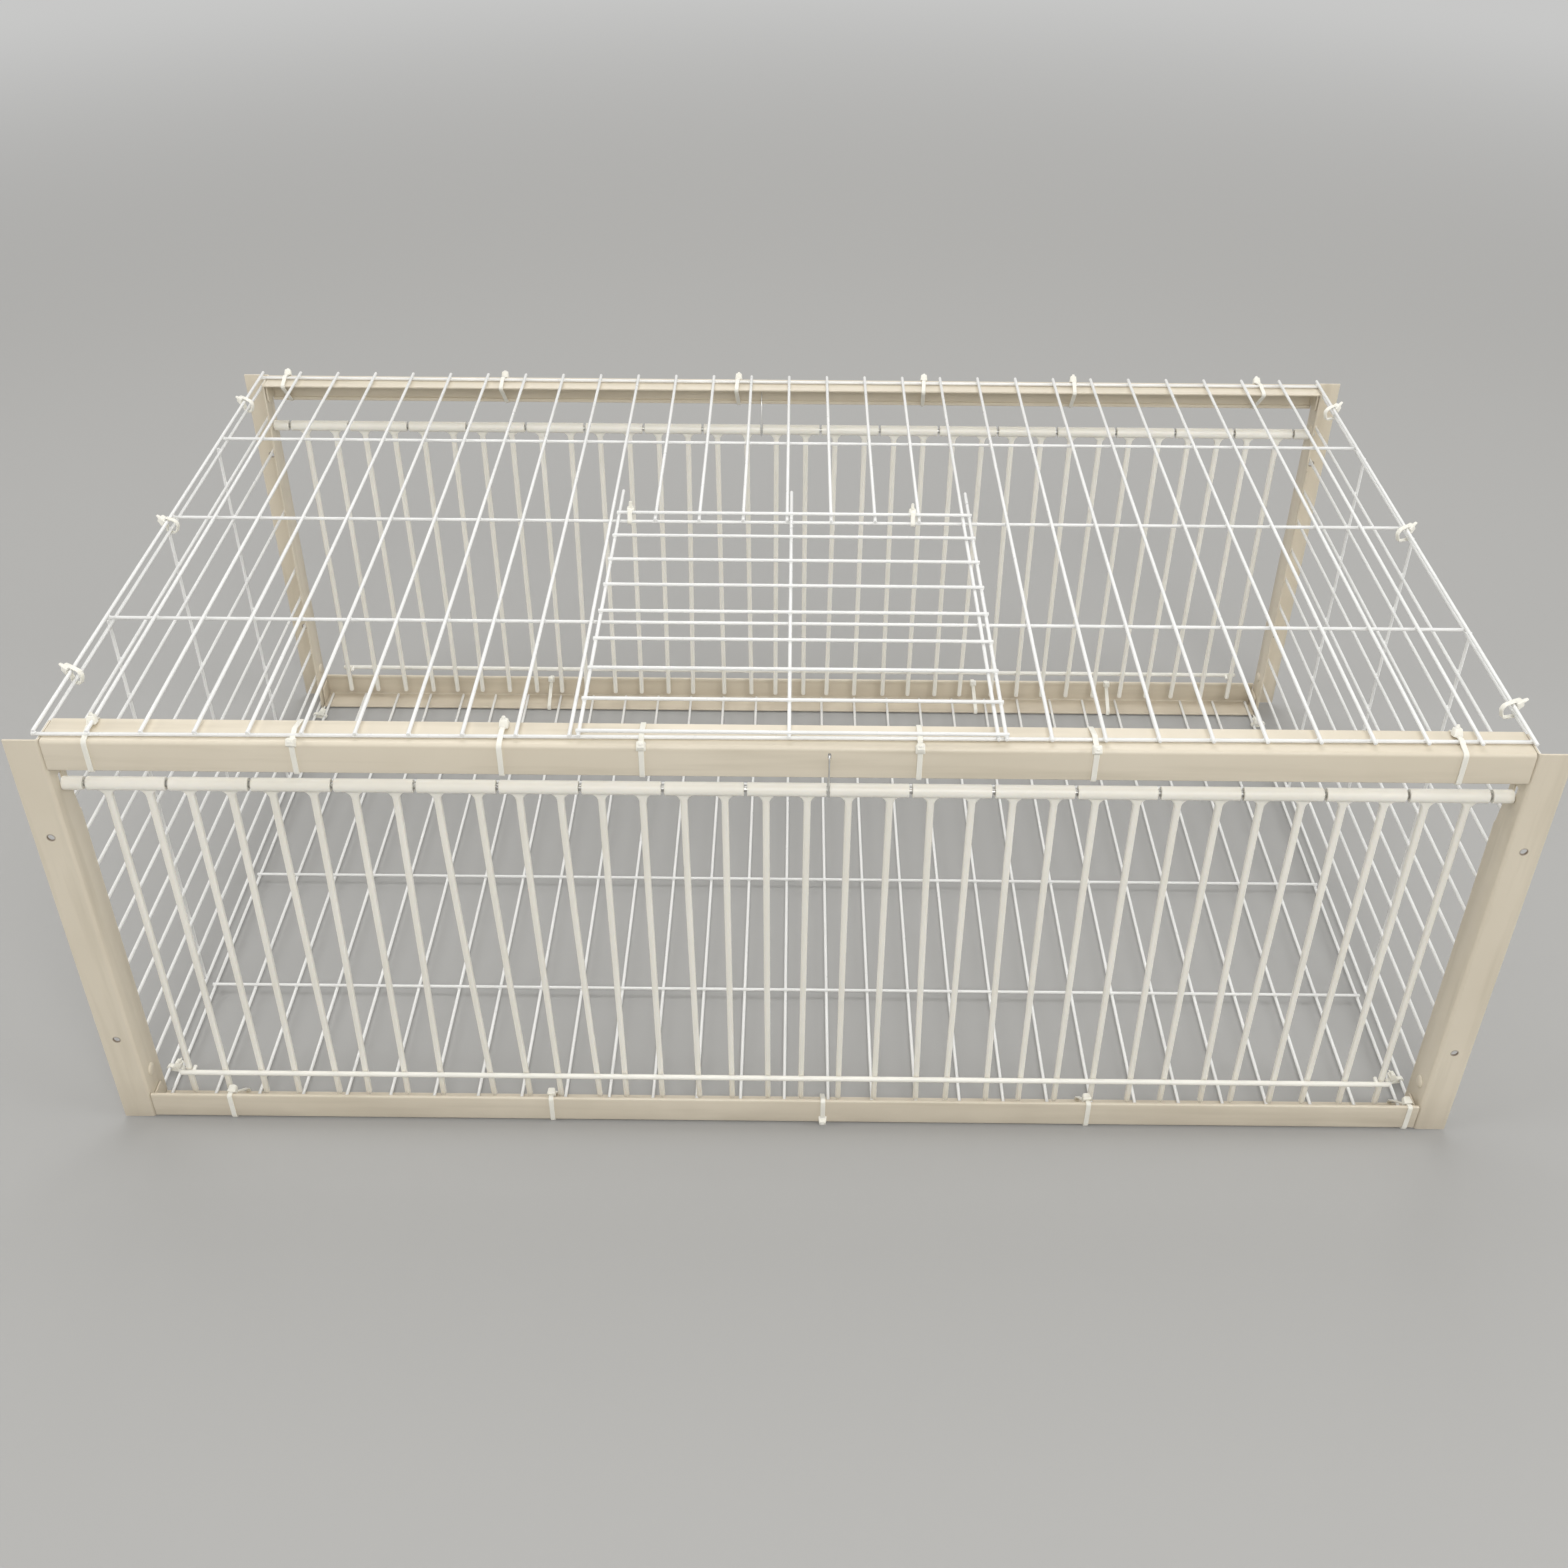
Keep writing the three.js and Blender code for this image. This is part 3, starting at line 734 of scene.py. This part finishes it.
def add_tube(stock, x_from, x_to, outer, inner):
    """A tube along X round the hinge rod."""
    profile = [(x_from + CHAMFER, outer), (x_to - CHAMFER, outer), (x_to, outer - CHAMFER),
               (x_to, inner), (x_from, inner), (x_from, outer - CHAMFER)]
    stock.loft([ring_round_x(x, ROD_Y, ROD_Z, radius, TUBE_SIDES) for x, radius in profile],
               closed=True)


print("door pitch", round(PITCH, 2), "mm")

# %% [markdown]
# A prong is lofted from rounded rectangles, because it is neither round nor square, and it
# tapers towards its rounded tip. Where it meets the barrel the rectangles widen along a quarter
# circle, which is the fillet that the mould leaves.

# %% One prong
PRONG_FOOT = 11.0
PRONG_ROOT, PRONG_TIP, PRONG_DEPTH, PRONG_CORNER = 2.05, 1.75, 2.0, 1.3
DEPTH_TAPER, FILLET = 0.15, 6.0
TIP_STEPS, SHANK_STEPS, FILLET_STEPS = 5, 12, 8


def rounded_rectangle(x, y, z, half_width, half_depth, corner):
    corner = min(corner, half_width * 0.98, half_depth * 0.98)
    ring = []
    for sx, sy, start in ((1, 1, 0.0), (-1, 1, 0.5), (-1, -1, 1.0), (1, -1, 1.5)):
        for u, v in polar(sx * (half_width - corner), sy * (half_depth - corner), corner,
                          start * math.pi, (start + 0.5) * math.pi, 4):
            ring.append(Vector((x + u, y + v, z)))
    return ring


def prong(x):
    bottom = PRONG_FOOT + PRONG_TIP
    top = ROD_Z - (BORE_RADIUS + BARREL_RADIUS) / 2 - FILLET
    profile = []
    for i in range(TIP_STEPS):
        angle = math.pi / 2 * (i + 0.6) / TIP_STEPS
        grow = math.sin(angle)
        profile.append((PRONG_FOOT + PRONG_TIP * (1 - math.cos(angle)), PRONG_TIP * grow,
                        (PRONG_DEPTH - DEPTH_TAPER) * grow, PRONG_CORNER * grow))
    for i in range(SHANK_STEPS + 1):
        share = i / SHANK_STEPS
        profile.append((bottom + (top - bottom) * share,
                        PRONG_TIP + (PRONG_ROOT - PRONG_TIP) * share,
                        PRONG_DEPTH - DEPTH_TAPER * (1 - share), PRONG_CORNER))
    for i in range(1, FILLET_STEPS + 1):
        angle = math.pi / 2 * i / FILLET_STEPS
        profile.append((top + FILLET * math.sin(angle),
                        PRONG_ROOT + FILLET * (1 - math.cos(angle)), PRONG_DEPTH, PRONG_CORNER))
    stock = Stock()
    stock.loft([rounded_rectangle(x, ROD_Y, *section) for section in profile])
    return stock


print("points in one prong:", len(prong(0.0).points))

# %% [markdown]
# A boolean union joins the barrel and the prongs into one skin, so no seam shows between them.

# %% One door
barrel = Stock()
add_tube(barrel, -(PITCH - SEAM) / 2, (PITCH - SEAM) / 2, BARREL_RADIUS, BORE_RADIUS)
pattern = new_object("pattern", make_mesh("door", barrel))
carve(pattern, [prong(-PITCH / 4), prong(PITCH / 4)], "UNION")
door_pattern = pattern.data
bpy.data.objects.remove(pattern)
print("one door:", len(door_pattern.vertices), "points")

# %% [markdown]
# Thin mouldings warp as they cool, and on the real trap no two doors hang quite alike: on the
# fifth and sixth from the left the tips stand almost a centimetre to the right. So each door gets
# its own copy of the pattern, bent sideways by an amount that grows with the depth below the
# barrel. The front row follows the real one to about a millimetre. The rear row gets small
# amounts from a seeded random generator, which gives the same result on each run.

# %% Bend one door
FRONT_TIPS = ((0, 0), (-1, -1), (-1, -2), (-1, 0), (9, 0), (7, 1), (2, 0), (2, -1), (0, -1),
              (0, 0), (2, -2), (2, -1), (1, 0), (1, -1), (1, -2), (0, -1), (0, 0))
BEND_FROM, BEND_CURVE = 256.0, 1.3


def bent_door(centre, drift, splay, turn):
    """Copy of the pattern at its place; drift moves both tips, splay moves them apart."""
    mesh = door_pattern.copy()
    for vertex in mesh.vertices:
        side = 1 if vertex.co.x > 0 else -1
        depth = max(0.0, (BEND_FROM * MM - vertex.co.z) / ((BEND_FROM - PRONG_FOOT) * MM))
        vertex.co.x += (centre + (drift + side * splay) * depth ** BEND_CURVE) * MM
    if turn:
        mesh.transform(TURNED)
    return mesh


print("largest bend at a tip:", max(drift + abs(splay) for drift, splay in FRONT_TIPS), "mm")

# %% [markdown]
# The doors at the two ends carry the stop bar, so they belong to the cage. The other fifteen
# swing, and each rides on its own body. The rear row is the front row turned half round.

# %% Hang the doors
moulding = random.Random(17)
for side, turn in SIDES:
    for number in range(1, DOORS + 1):
        node = f"{side}_door_{number:02d}"
        drift, splay = FRONT_TIPS[number - 1]
        if turn:
            drift, splay = moulding.uniform(-2.2, 2.2), moulding.uniform(-1.2, 0.6)
        if number in (1, DOORS):
            drift, splay = 0.0, 0.0
        body = node if node in frame["bodies"] else "cage"
        centre = (number - (DOORS + 1) / 2) * PITCH
        add_piece(f"{side}_bob_{number:02d}", bent_door(centre, drift, splay, turn),
                  ivory_plastic, body, [node])

# %% [markdown]
# ## Rod, bushes and stop bar
#
# The doors swing on one straight steel rod. A short plastic bush keeps the row away from each
# upright, and the ends of the rod stick out through the slots. The stop bar lies across the
# outside of the prongs, with a hook at each end round the outermost prong.

# %% Rod, bushes and stop bar
ROD_END = OPENING + 4
STOP_Z, STOP_RADIUS, HOOK_RADIUS, HOOK_LENGTH = 33.0, 1.7, 1.2, 6
STOP_Y = ROD_Y - PRONG_DEPTH - GAP - STOP_RADIUS
OUTER_PRONG = (DOORS - 1) / 2 * PITCH + PITCH / 4
STOP_END = OUTER_PRONG + 3.4 + STOP_RADIUS
HOOK_X = OUTER_PRONG - PRONG_ROOT - GAP - HOOK_RADIUS


def fit_rod(side, turn):
    rod = Stock()
    add_bar(rod, (-ROD_END, ROD_Y, ROD_Z), (ROD_END, ROD_Y, ROD_Z), ROD_RADIUS, 0.3, 24)
    add_piece(f"{side}_rod", make_mesh("rod", rod, turn), drawn_steel, "cage",
              [f"{side}_hinge_rod"])
    for hand, name in HANDS:
        bush = Stock()
        ends = sorted((hand * (OPENING - GAP - BUSH), hand * (OPENING - GAP)))
        add_tube(bush, *ends, BARREL_RADIUS, ROD_RADIUS + 0.05)
        add_piece(f"{side}_{name}_bush", make_mesh("bush", bush, turn), ivory_plastic,
                  "cage")


def fit_stop_bar(side, turn):
    stop = Stock()
    add_bar(stop, (-STOP_END, STOP_Y, STOP_Z), (STOP_END, STOP_Y, STOP_Z), STOP_RADIUS,
            STOP_RADIUS * 0.9, 20)
    for x in (-HOOK_X, HOOK_X):
        add_bar(stop, (x, STOP_Y, STOP_Z), (x, STOP_Y + HOOK_LENGTH, STOP_Z), HOOK_RADIUS, 0.5)
    add_piece(f"{side}_bar", make_mesh("stop_bar", stop, turn), ivory_coating,
              "cage", [f"{side}_stop_bar"])


for side, turn in SIDES:
    fit_rod(side, turn)
    fit_stop_bar(side, turn)
print("stop bar length:", round(2 * STOP_END, 1), "mm")

# %% [markdown]
# ### Wire hanger
#
# Halfway along, a ring of thin wire hangs the rod from the top rail. It is a free curve, so it
# is a tube along a few points whose corners are cut round.

# %% Wire hanger
HANGER_RADIUS, HANGER_SIDES, CORNER_CUTS = 0.45, 10, 3
HANGER_ROUTE = ((-244.0, 295.0), (-248.0, 295.0), (-249.4, 294.5), (-250.8, 292.7),
                (-250.8, 280.0), (-244.4, 271.0), (-240.6, 259.9), (-238.0, 256.6),
                (-234.9, 259.9), (-234.9, 265.1), (-238.0, 279.5), (-246.0, 290.5))


def rounded_path(points):
    """Cuts the corners of a path again and again, so it stays inside its own outline."""
    path = [Vector(p) for p in points]
    for _ in range(CORNER_CUTS):
        cut = [path[0]]
        for a, b in zip(path, path[1:]):
            cut += [a.lerp(b, 0.25), a.lerp(b, 0.75)]
        path = [*cut, path[-1]]
    return path


def add_curve_tube(stock, path, radius, sides):
    across = cross_axes((path[1] - path[0]).normalized())[0]
    rings = []
    for i, point in enumerate(path):
        ahead = (path[min(i + 1, len(path) - 1)] - path[max(i - 1, 0)]).normalized()
        across = (across - ahead * across.dot(ahead)).normalized()
        rings.append(circle(point, across, ahead.cross(across), radius, sides))
    stock.loft(rings)


for side, turn in SIDES:
    hanger = Stock()
    add_curve_tube(hanger, rounded_path([(PITCH / 2, y, z) for y, z in HANGER_ROUTE]),
                   HANGER_RADIUS, HANGER_SIDES)
    add_piece(f"{side}_wire_hanger", make_mesh("hanger", hanger, turn), zinc,
              "cage", [f"{side}_rod_hanger"])
print("hanger points:", len(HANGER_ROUTE))

# %% [markdown]
# ## The wire panels
#
# Welded mesh is two layers of straight wire. The welds sink the wires a little into each other
# and the coating gathers in the corners, so each crossing gets a small flattened bead. All the
# wires of a panel are one piece, because they are one welded thing. On the top panel the front
# cross wire was welded askew, with its left end 5 mm nearer the front, and the wires of the
# middle bays stop short to leave the hatch open.

# %% Top panel
WIRE = 2.2
WIRE_RADIUS, CUT_ROUND, OVERHANG = WIRE / 2, 0.45, 1.5
SINK = 0.12
FLAT_BEAD, WALL_BEAD = (1.5, 1.5, 0.8), (0.8, 1.5, 1.5)
MESH_PITCH, PANEL_SHIFT = (OPENING + 1.6) / 14, -1.8
PANEL_END = HALF_DEPTH - 4
TOP_LOW = HEIGHT + GAP + WIRE_RADIUS
TOP_HIGH = TOP_LOW + WIRE
TOP_CROSS = (-240.0, -122.0, 8.0, 130.0, 240.0)
HATCH_REAR, SHORT_EACH_SIDE = TOP_CROSS[2], 3
FRONT_SLOPE = 0.0066
COLUMNS = [PANEL_SHIFT + k * MESH_PITCH for k in range(-14, 15)]


def add_wire(stock, start, end):
    add_bar(stock, start, end, WIRE_RADIUS, CUT_ROUND)


def add_cross_wire(stock, y, height, columns, weld_height):
    add_wire(stock, (columns[0] - OVERHANG, y, height), (columns[-1] + OVERHANG, y, height))
    for x in columns:
        add_bead(stock, (x, y, weld_height), FLAT_BEAD)


def add_panel(name, stock, body, stands_for):
    add_piece(name, make_mesh(name, stock), white_coating, body, stands_for)


def cross_place(y, x):
    return y + (FRONT_SLOPE * (x - COLUMNS[-1]) if y == TOP_CROSS[0] else 0.0)


top = Stock()
for y in TOP_CROSS:
    add_wire(top, *((x, cross_place(y, x), TOP_LOW)
                    for x in (COLUMNS[0] - OVERHANG, COLUMNS[-1] + OVERHANG)))
for k, x in enumerate(COLUMNS, -14):
    front = HATCH_REAR - OVERHANG if abs(k) <= SHORT_EACH_SIDE else -PANEL_END
    add_wire(top, (x, front, TOP_HIGH - SINK), (x, PANEL_END, TOP_HIGH - SINK))
    for y in TOP_CROSS:
        if y > front:
            add_bead(top, (x, cross_place(y, x), (TOP_LOW + TOP_HIGH) / 2), FLAT_BEAD)
add_panel("top_mesh", top, "cage", ["top_panel_left", "top_panel_right", "top_panel_rear",
                                    "hatch_front_wire", "hatch_middle_wire"])
print("top panel:", len(top.points), "points")

# %% [markdown]
# The floor panel lies on the flanges of the bottom rails, with its cross wires on top. The side
# panels stand between the uprights: eleven bays high, with the long wires inside and three
# upright wires outside.

# %% Floor panel and side panels
FLOOR_LOW = SHEET + GAP + WIRE_RADIUS
FLOOR_PITCH = (OPENING - 5.4) / 14
FLOOR_COLUMNS = [k * FLOOR_PITCH for k in range(-14, 15)]
SIDE_ROWS = [3 + i * (HEIGHT - 6) / 11 for i in range(12)]
SIDE_X, SIDE_END = OPENING + SHEET + GAP + WIRE_RADIUS, HALF_DEPTH - BEND - GAP

bottom = Stock()
for x in FLOOR_COLUMNS:
    add_wire(bottom, (x, -PANEL_END, FLOOR_LOW), (x, PANEL_END, FLOOR_LOW))
for y in (-130.0, -8.0, 114.0):
    add_cross_wire(bottom, y, FLOOR_LOW + WIRE - SINK, FLOOR_COLUMNS, FLOOR_LOW + WIRE_RADIUS)
add_panel("floor_mesh", bottom, "cage", ["floor_panel"])

for hand, name in HANDS:
    wall = Stock()
    inner_x, outer_x = hand * SIDE_X, hand * SIDE_X + hand * (WIRE - SINK)
    for z in SIDE_ROWS:
        add_wire(wall, (inner_x, -SIDE_END, z), (inner_x, SIDE_END, z))
    for y in (-120.0, 0.0, 120.0):
        add_wire(wall, (outer_x, y, SIDE_ROWS[0] - OVERHANG),
                 (outer_x, y, SIDE_ROWS[-1] + OVERHANG))
        for z in SIDE_ROWS:
            add_bead(wall, ((inner_x + outer_x) / 2, y, z), WALL_BEAD)
    add_panel(f"{name}_side_mesh", wall, "cage", [f"{name}_side_panel"])
print("side rows:", [round(z, 1) for z in SIDE_ROWS])

# %% [markdown]
# ## The lid
#
# The lid is a loose piece of mesh with a closer pitch, tied along its rear wire. Its three long
# wires lie on the panel's cross wires, and run on behind the hinge as tails, which stop it
# when it stands open. It rides on its own body.

# %% Lid
LID_LOW = TOP_LOW + WIRE + GAP
LID_HIGH = LID_LOW + WIRE
LID_REAR, LID_TAIL, LID_BAYS = HATCH_REAR + 4, 36, 8
LID_ROWS = [LID_REAR - i * (LID_REAR + HALF_DEPTH - 6) / LID_BAYS for i in range(LID_BAYS + 1)]
LID_COLUMNS = (PANEL_SHIFT - 4 * MESH_PITCH + 5, PANEL_SHIFT + 2.54 + GAP,
               PANEL_SHIFT + 4 * MESH_PITCH + 4.3)

lid = Stock()
for x in LID_COLUMNS:
    add_wire(lid, (x, LID_ROWS[-1] - 2.5, LID_LOW), (x, LID_REAR + LID_TAIL, LID_LOW))
for y in LID_ROWS:
    add_cross_wire(lid, y, LID_HIGH - SINK, LID_COLUMNS, (LID_LOW + LID_HIGH) / 2)
add_panel("lid_mesh", lid, "lid", ["lid"])
print("lid rows:", [round(y) for y in LID_ROWS])

# %% [markdown]
# ## Cable ties
#
# White nylon ties hold the panels to the frames and hinge the lid. A tie is a flat band pulled
# tight round what it holds, a small block that locks it, and a cut tail. The band is a loft of
# thin rectangles along a closed loop. The loop is the outline of a rubber band stretched round
# the parts: the convex hull of a few circles.

# %% The band of a tie
BAND_WIDTH, BAND_THICK, BAND_EDGE, BAND_SLACK = 3.0, 0.9, 0.2, 0.08
HALF_BAND = BAND_WIDTH / 2
BAND_SECTION = ((0, HALF_BAND - BAND_EDGE), (BAND_EDGE, HALF_BAND),
                (BAND_THICK - BAND_EDGE, HALF_BAND), (BAND_THICK, HALF_BAND - BAND_EDGE),
                (BAND_THICK, BAND_EDGE - HALF_BAND), (BAND_THICK - BAND_EDGE, -HALF_BAND),
                (BAND_EDGE, -HALF_BAND), (0, BAND_EDGE - HALF_BAND))


def hull(points):
    points = sorted(set(points))

    def half_hull(order):
        chain = []
        for p in order:
            while len(chain) > 1 and ((chain[-1][0] - chain[-2][0]) * (p[1] - chain[-2][1])
                                      - (chain[-1][1] - chain[-2][1]) * (p[0] - chain[-2][0])) <= 0:
                chain.pop()
            chain.append(p)
        return chain[:-1]

    return half_hull(points) + half_hull(reversed(points))


def band_loop(circles):
    """Loop round some circles (u, v, radius), at the outside of the band."""
    points = []
    for u, v, radius in circles:
        points += polar(u, v, radius + (BAND_SLACK + BAND_THICK), 0, 2 * math.pi, 24)[:-1]
    return hull([(round(u, 4), round(v, 4)) for u, v in points])


def add_band(stock, circles, to_space):
    """Band round the circles; to_space turns (u, v, w) into a point, w across the band."""
    outer = band_loop(circles)
    centre = [sum(c) / len(outer) for c in zip(*outer)]
    rings = []
    for i, (u, v) in enumerate(outer):
        before, after = outer[i - 1], outer[(i + 1) % len(outer)]
        du, dv = after[0] - before[0], after[1] - before[1]
        length = math.hypot(du, dv)
        nu, nv = dv / length, -du / length
        if nu * (u - centre[0]) + nv * (v - centre[1]) < 0:
            nu, nv = -nu, -nv
        rings.append([to_space(u - nu * deep, v - nv * deep, w) for deep, w in BAND_SECTION])
    stock.loft(rings, closed=True)


print("points in the loop round a wire:", len(band_loop([(0.0, 0.0, WIRE_RADIUS)])))

# %% [markdown]
# The block and the cut tail are both short lofts that narrow a little towards their free end.

# %% A whole tie
HEAD_FOOT, HEAD_TOP, HEAD_HEIGHT, HEAD_EDGE = (5.2, 5.4), (4.2, 4.4), 4.8, 0.6
TAIL_FOOT, TAIL_TOP, TAIL_EDGE = (1.2, 2.8), (1.0, 1.7), 0.3
TAIL_FROM, TAIL_SUNK = 2.2, 0.4


def add_block(stock, centre, axes, foot, top, height, edge):
    """Block whose section goes from foot to top along the last of three unit vectors."""
    rings = []
    for level, (wide, deep), shrink in ((-0.5, foot, edge), (-0.5, foot, 0.0),
                                        (0.5, top, 0.0), (0.5, top, edge)):
        inset = 0.0 if shrink else edge * 0.7
        along = level * height - math.copysign(inset, level)
        ring = rounded_rectangle(0, 0, 0, wide / 2 - shrink * 0.6, deep / 2 - shrink * 0.6, edge)
        rings.append([Vector(centre) + axes[0] * p.x + axes[1] * p.y + axes[2] * along
                      for p in ring])
    stock.loft(rings)


def tie_stock(circles, to_space, head, lean, tail):
    """A whole tie: band, head at a place on the loop, and a tail that leans by an angle."""
    stock = Stock()
    add_band(stock, circles, to_space)
    origin = to_space(*head, 0)
    u_axis = (to_space(head[0] + 1, head[1], 0) - origin).normalized()
    v_axis = (to_space(head[0], head[1] + 1, 0) - origin).normalized()
    w_axis = u_axis.cross(v_axis)
    out = u_axis * math.cos(lean) + v_axis * math.sin(lean)
    axes = (w_axis.cross(out), w_axis, out)
    add_block(stock, origin, axes, HEAD_FOOT, HEAD_TOP, HEAD_HEIGHT, HEAD_EDGE)
    add_block(stock, origin + out * (TAIL_FROM + tail / 2), axes, TAIL_FOOT, TAIL_TOP,
              tail + TAIL_SUNK, TAIL_EDGE)
    return stock


def add_tie(name, stock, turn=False, stands_for=()):
    add_piece(name, make_mesh("tie", stock, turn), white_nylon, "cage", stands_for)


print("head of a tie:", HEAD_FOOT, "mm at its foot,", HEAD_TOP, "at its top")

# %% [markdown]
# Along the top rails each band goes round the rail and the outermost cross wire. Some heads sit
# on the flange and some at the bend. Each tie is pulled by hand, so its lean, its tail and its
# skew vary a little, from a seeded generator.

# %% Ties round the top rails
TOP_RAIL_HOLD = ((-248.8, 280.9, 1.3), (-247.5, 297.5, 2.5), (-240.0, TOP_LOW, WIRE_RADIUS),
                 (-228.7, 299.3, 0.7))
ON_FLANGE, AT_BEND = (-234.0, 303.6), (-250.9, 301.1)
tie_hand = random.Random(5)


def rail_ties(label, places, circles, head, lean, tail, turn, skew):
    for number, x in enumerate(places, 1):
        slant = skew * tie_hand.uniform(-1, 1)
        stock = tie_stock(circles, lambda u, v, w: Vector((x + w + slant * (u + 239) / 11, u, v)),
                          head, math.radians(lean) + tie_hand.uniform(-0.22, 0.22),
                          tail * tie_hand.uniform(0.6, 1.3))
        add_tie(f"{label}_tie_{number}", stock, turn)
    print(label, "ties:", len(places))


rail_ties("front_flange", (-385, -157, 370), TOP_RAIL_HOLD, ON_FLANGE, 75, 1.6, False, 0.8)
rail_ties("front_bend", (-271, -80, 73, 169), TOP_RAIL_HOLD, AT_BEND, 135, 0.8, False, 0.8)
rail_ties("rear_top", (395, 225, 42, -103, -220, -365), TOP_RAIL_HOLD, AT_BEND, 118, 1.4, True,
          0.8)

# %% [markdown]
# On the bottom rails the band passes under the prongs between two of them, so no door touches
# it. Most heads sit just behind the hem and peep over it. One was pulled round to the foot of
# the face, where it shows as a small lump.

# %% Ties round the bottom rails
BOTTOM_RAIL_HOLD = ((-248.8, 19.2, 1.2), (-247.5, 2.5, 2.5), (-229.4, FLOOR_LOW, WIRE_RADIUS),
                    (-228.6, 0.7, 0.7))
BEHIND_HEM, AT_FOOT = (-244.4, 20.4), (-250.9, 3.6)
rail_ties("front_bottom", (-357, -151, 195, 402), BOTTOM_RAIL_HOLD, BEHIND_HEM, 20, 0.8, False,
          1.5)
rail_ties("front_foot", (25,), BOTTOM_RAIL_HOLD, AT_FOOT, 190, 0.6, False, 0.0)
rail_ties("rear_bottom", (-280, -163, 210), BOTTOM_RAIL_HOLD, BEHIND_HEM, 20, 0.8, True, 1.5)

# %% [markdown]
# Along the two top edges the outermost top wire is tied to the top wire of the side panel. Those
# loops are loose and lie askew over the crossing. Each is drawn in its own upright plane, which
# is turned about Z, and the head points outward. Smaller loops hold the floor panel in the lower
# corners.

# %% Ties along the side edges and in the lower corners
EDGE_PLACES = {"left": (-184.0, -1.0, 192.0), "right": (-206.0, 3.0, 195.0)}
CORNER_X, CORNER_PLACES = 404.6, (-210.0, 210.0)
LOOSE_RADIUS = WIRE_RADIUS + 0.3


def side_tie(name, x, y, circles, head, lean, tail, askew):
    turned = Matrix.Rotation(askew, 3, "Z")
    add_tie(name, tie_stock(circles, lambda u, v, w: turned @ Vector((u, w, 0)) + Vector((x, y, v)),
                            head, lean, tail))


for hand, name in HANDS:
    edge_x = COLUMNS[0] if hand < 0 else COLUMNS[-1]
    loose = [(0.0, TOP_HIGH, LOOSE_RADIUS), (hand * SIDE_X - edge_x, SIDE_ROWS[-1], LOOSE_RADIUS),
             (-hand * 3.8, 301.4, 2.8), (-hand * 3.2, 298.2, 2.2)]
    for number, y in enumerate(EDGE_PLACES[name], 1):
        side_tie(f"{name}_edge_tie_{number}", edge_x, y, loose, (hand * 3.9, 303.4),
                 math.pi / 2 - hand * tie_hand.uniform(0.9, 1.3), tie_hand.uniform(2.4, 4.0),
                 hand * tie_hand.uniform(0.2, 0.6))
    corner = [(0.0, FLOOR_LOW, WIRE_RADIUS),
              (hand * SIDE_X - hand * CORNER_X, SIDE_ROWS[0], WIRE_RADIUS)]
    for number, y in enumerate(CORNER_PLACES, 1):
        side_tie(f"{name}_corner_tie_{number}", hand * CORNER_X, y, corner, (hand * 1.2, 7.4),
                 math.pi / 2 + hand * 0.5, 3.5, hand * 0.15)

# %% [markdown]
# Two ties hinge the lid. Each goes round the cross wire of the panel and the lid's rear wire,
# and stays with the cage while the lid turns inside it.

# %% Ties that hinge the lid
LID_HOLD = ((HATCH_REAR, TOP_LOW, WIRE_RADIUS), (LID_REAR, LID_HIGH, WIRE_RADIUS))
LID_TIE_HEAD, LID_TIE_LEAN, LID_TIE_TAIL = (16.2, 305.4), math.radians(82), 4.0

for name, x in (("left", LID_COLUMNS[0] + 7.4), ("right", PANEL_SHIFT + 3 * MESH_PITCH - 4.1)):
    stock = tie_stock(LID_HOLD, lambda u, v, w: Vector((x + w, u, v)), LID_TIE_HEAD,
                      LID_TIE_LEAN, LID_TIE_TAIL)
    add_tie(f"{name}_hinge_tie", stock, stands_for=[f"{name}_lid_tie"])
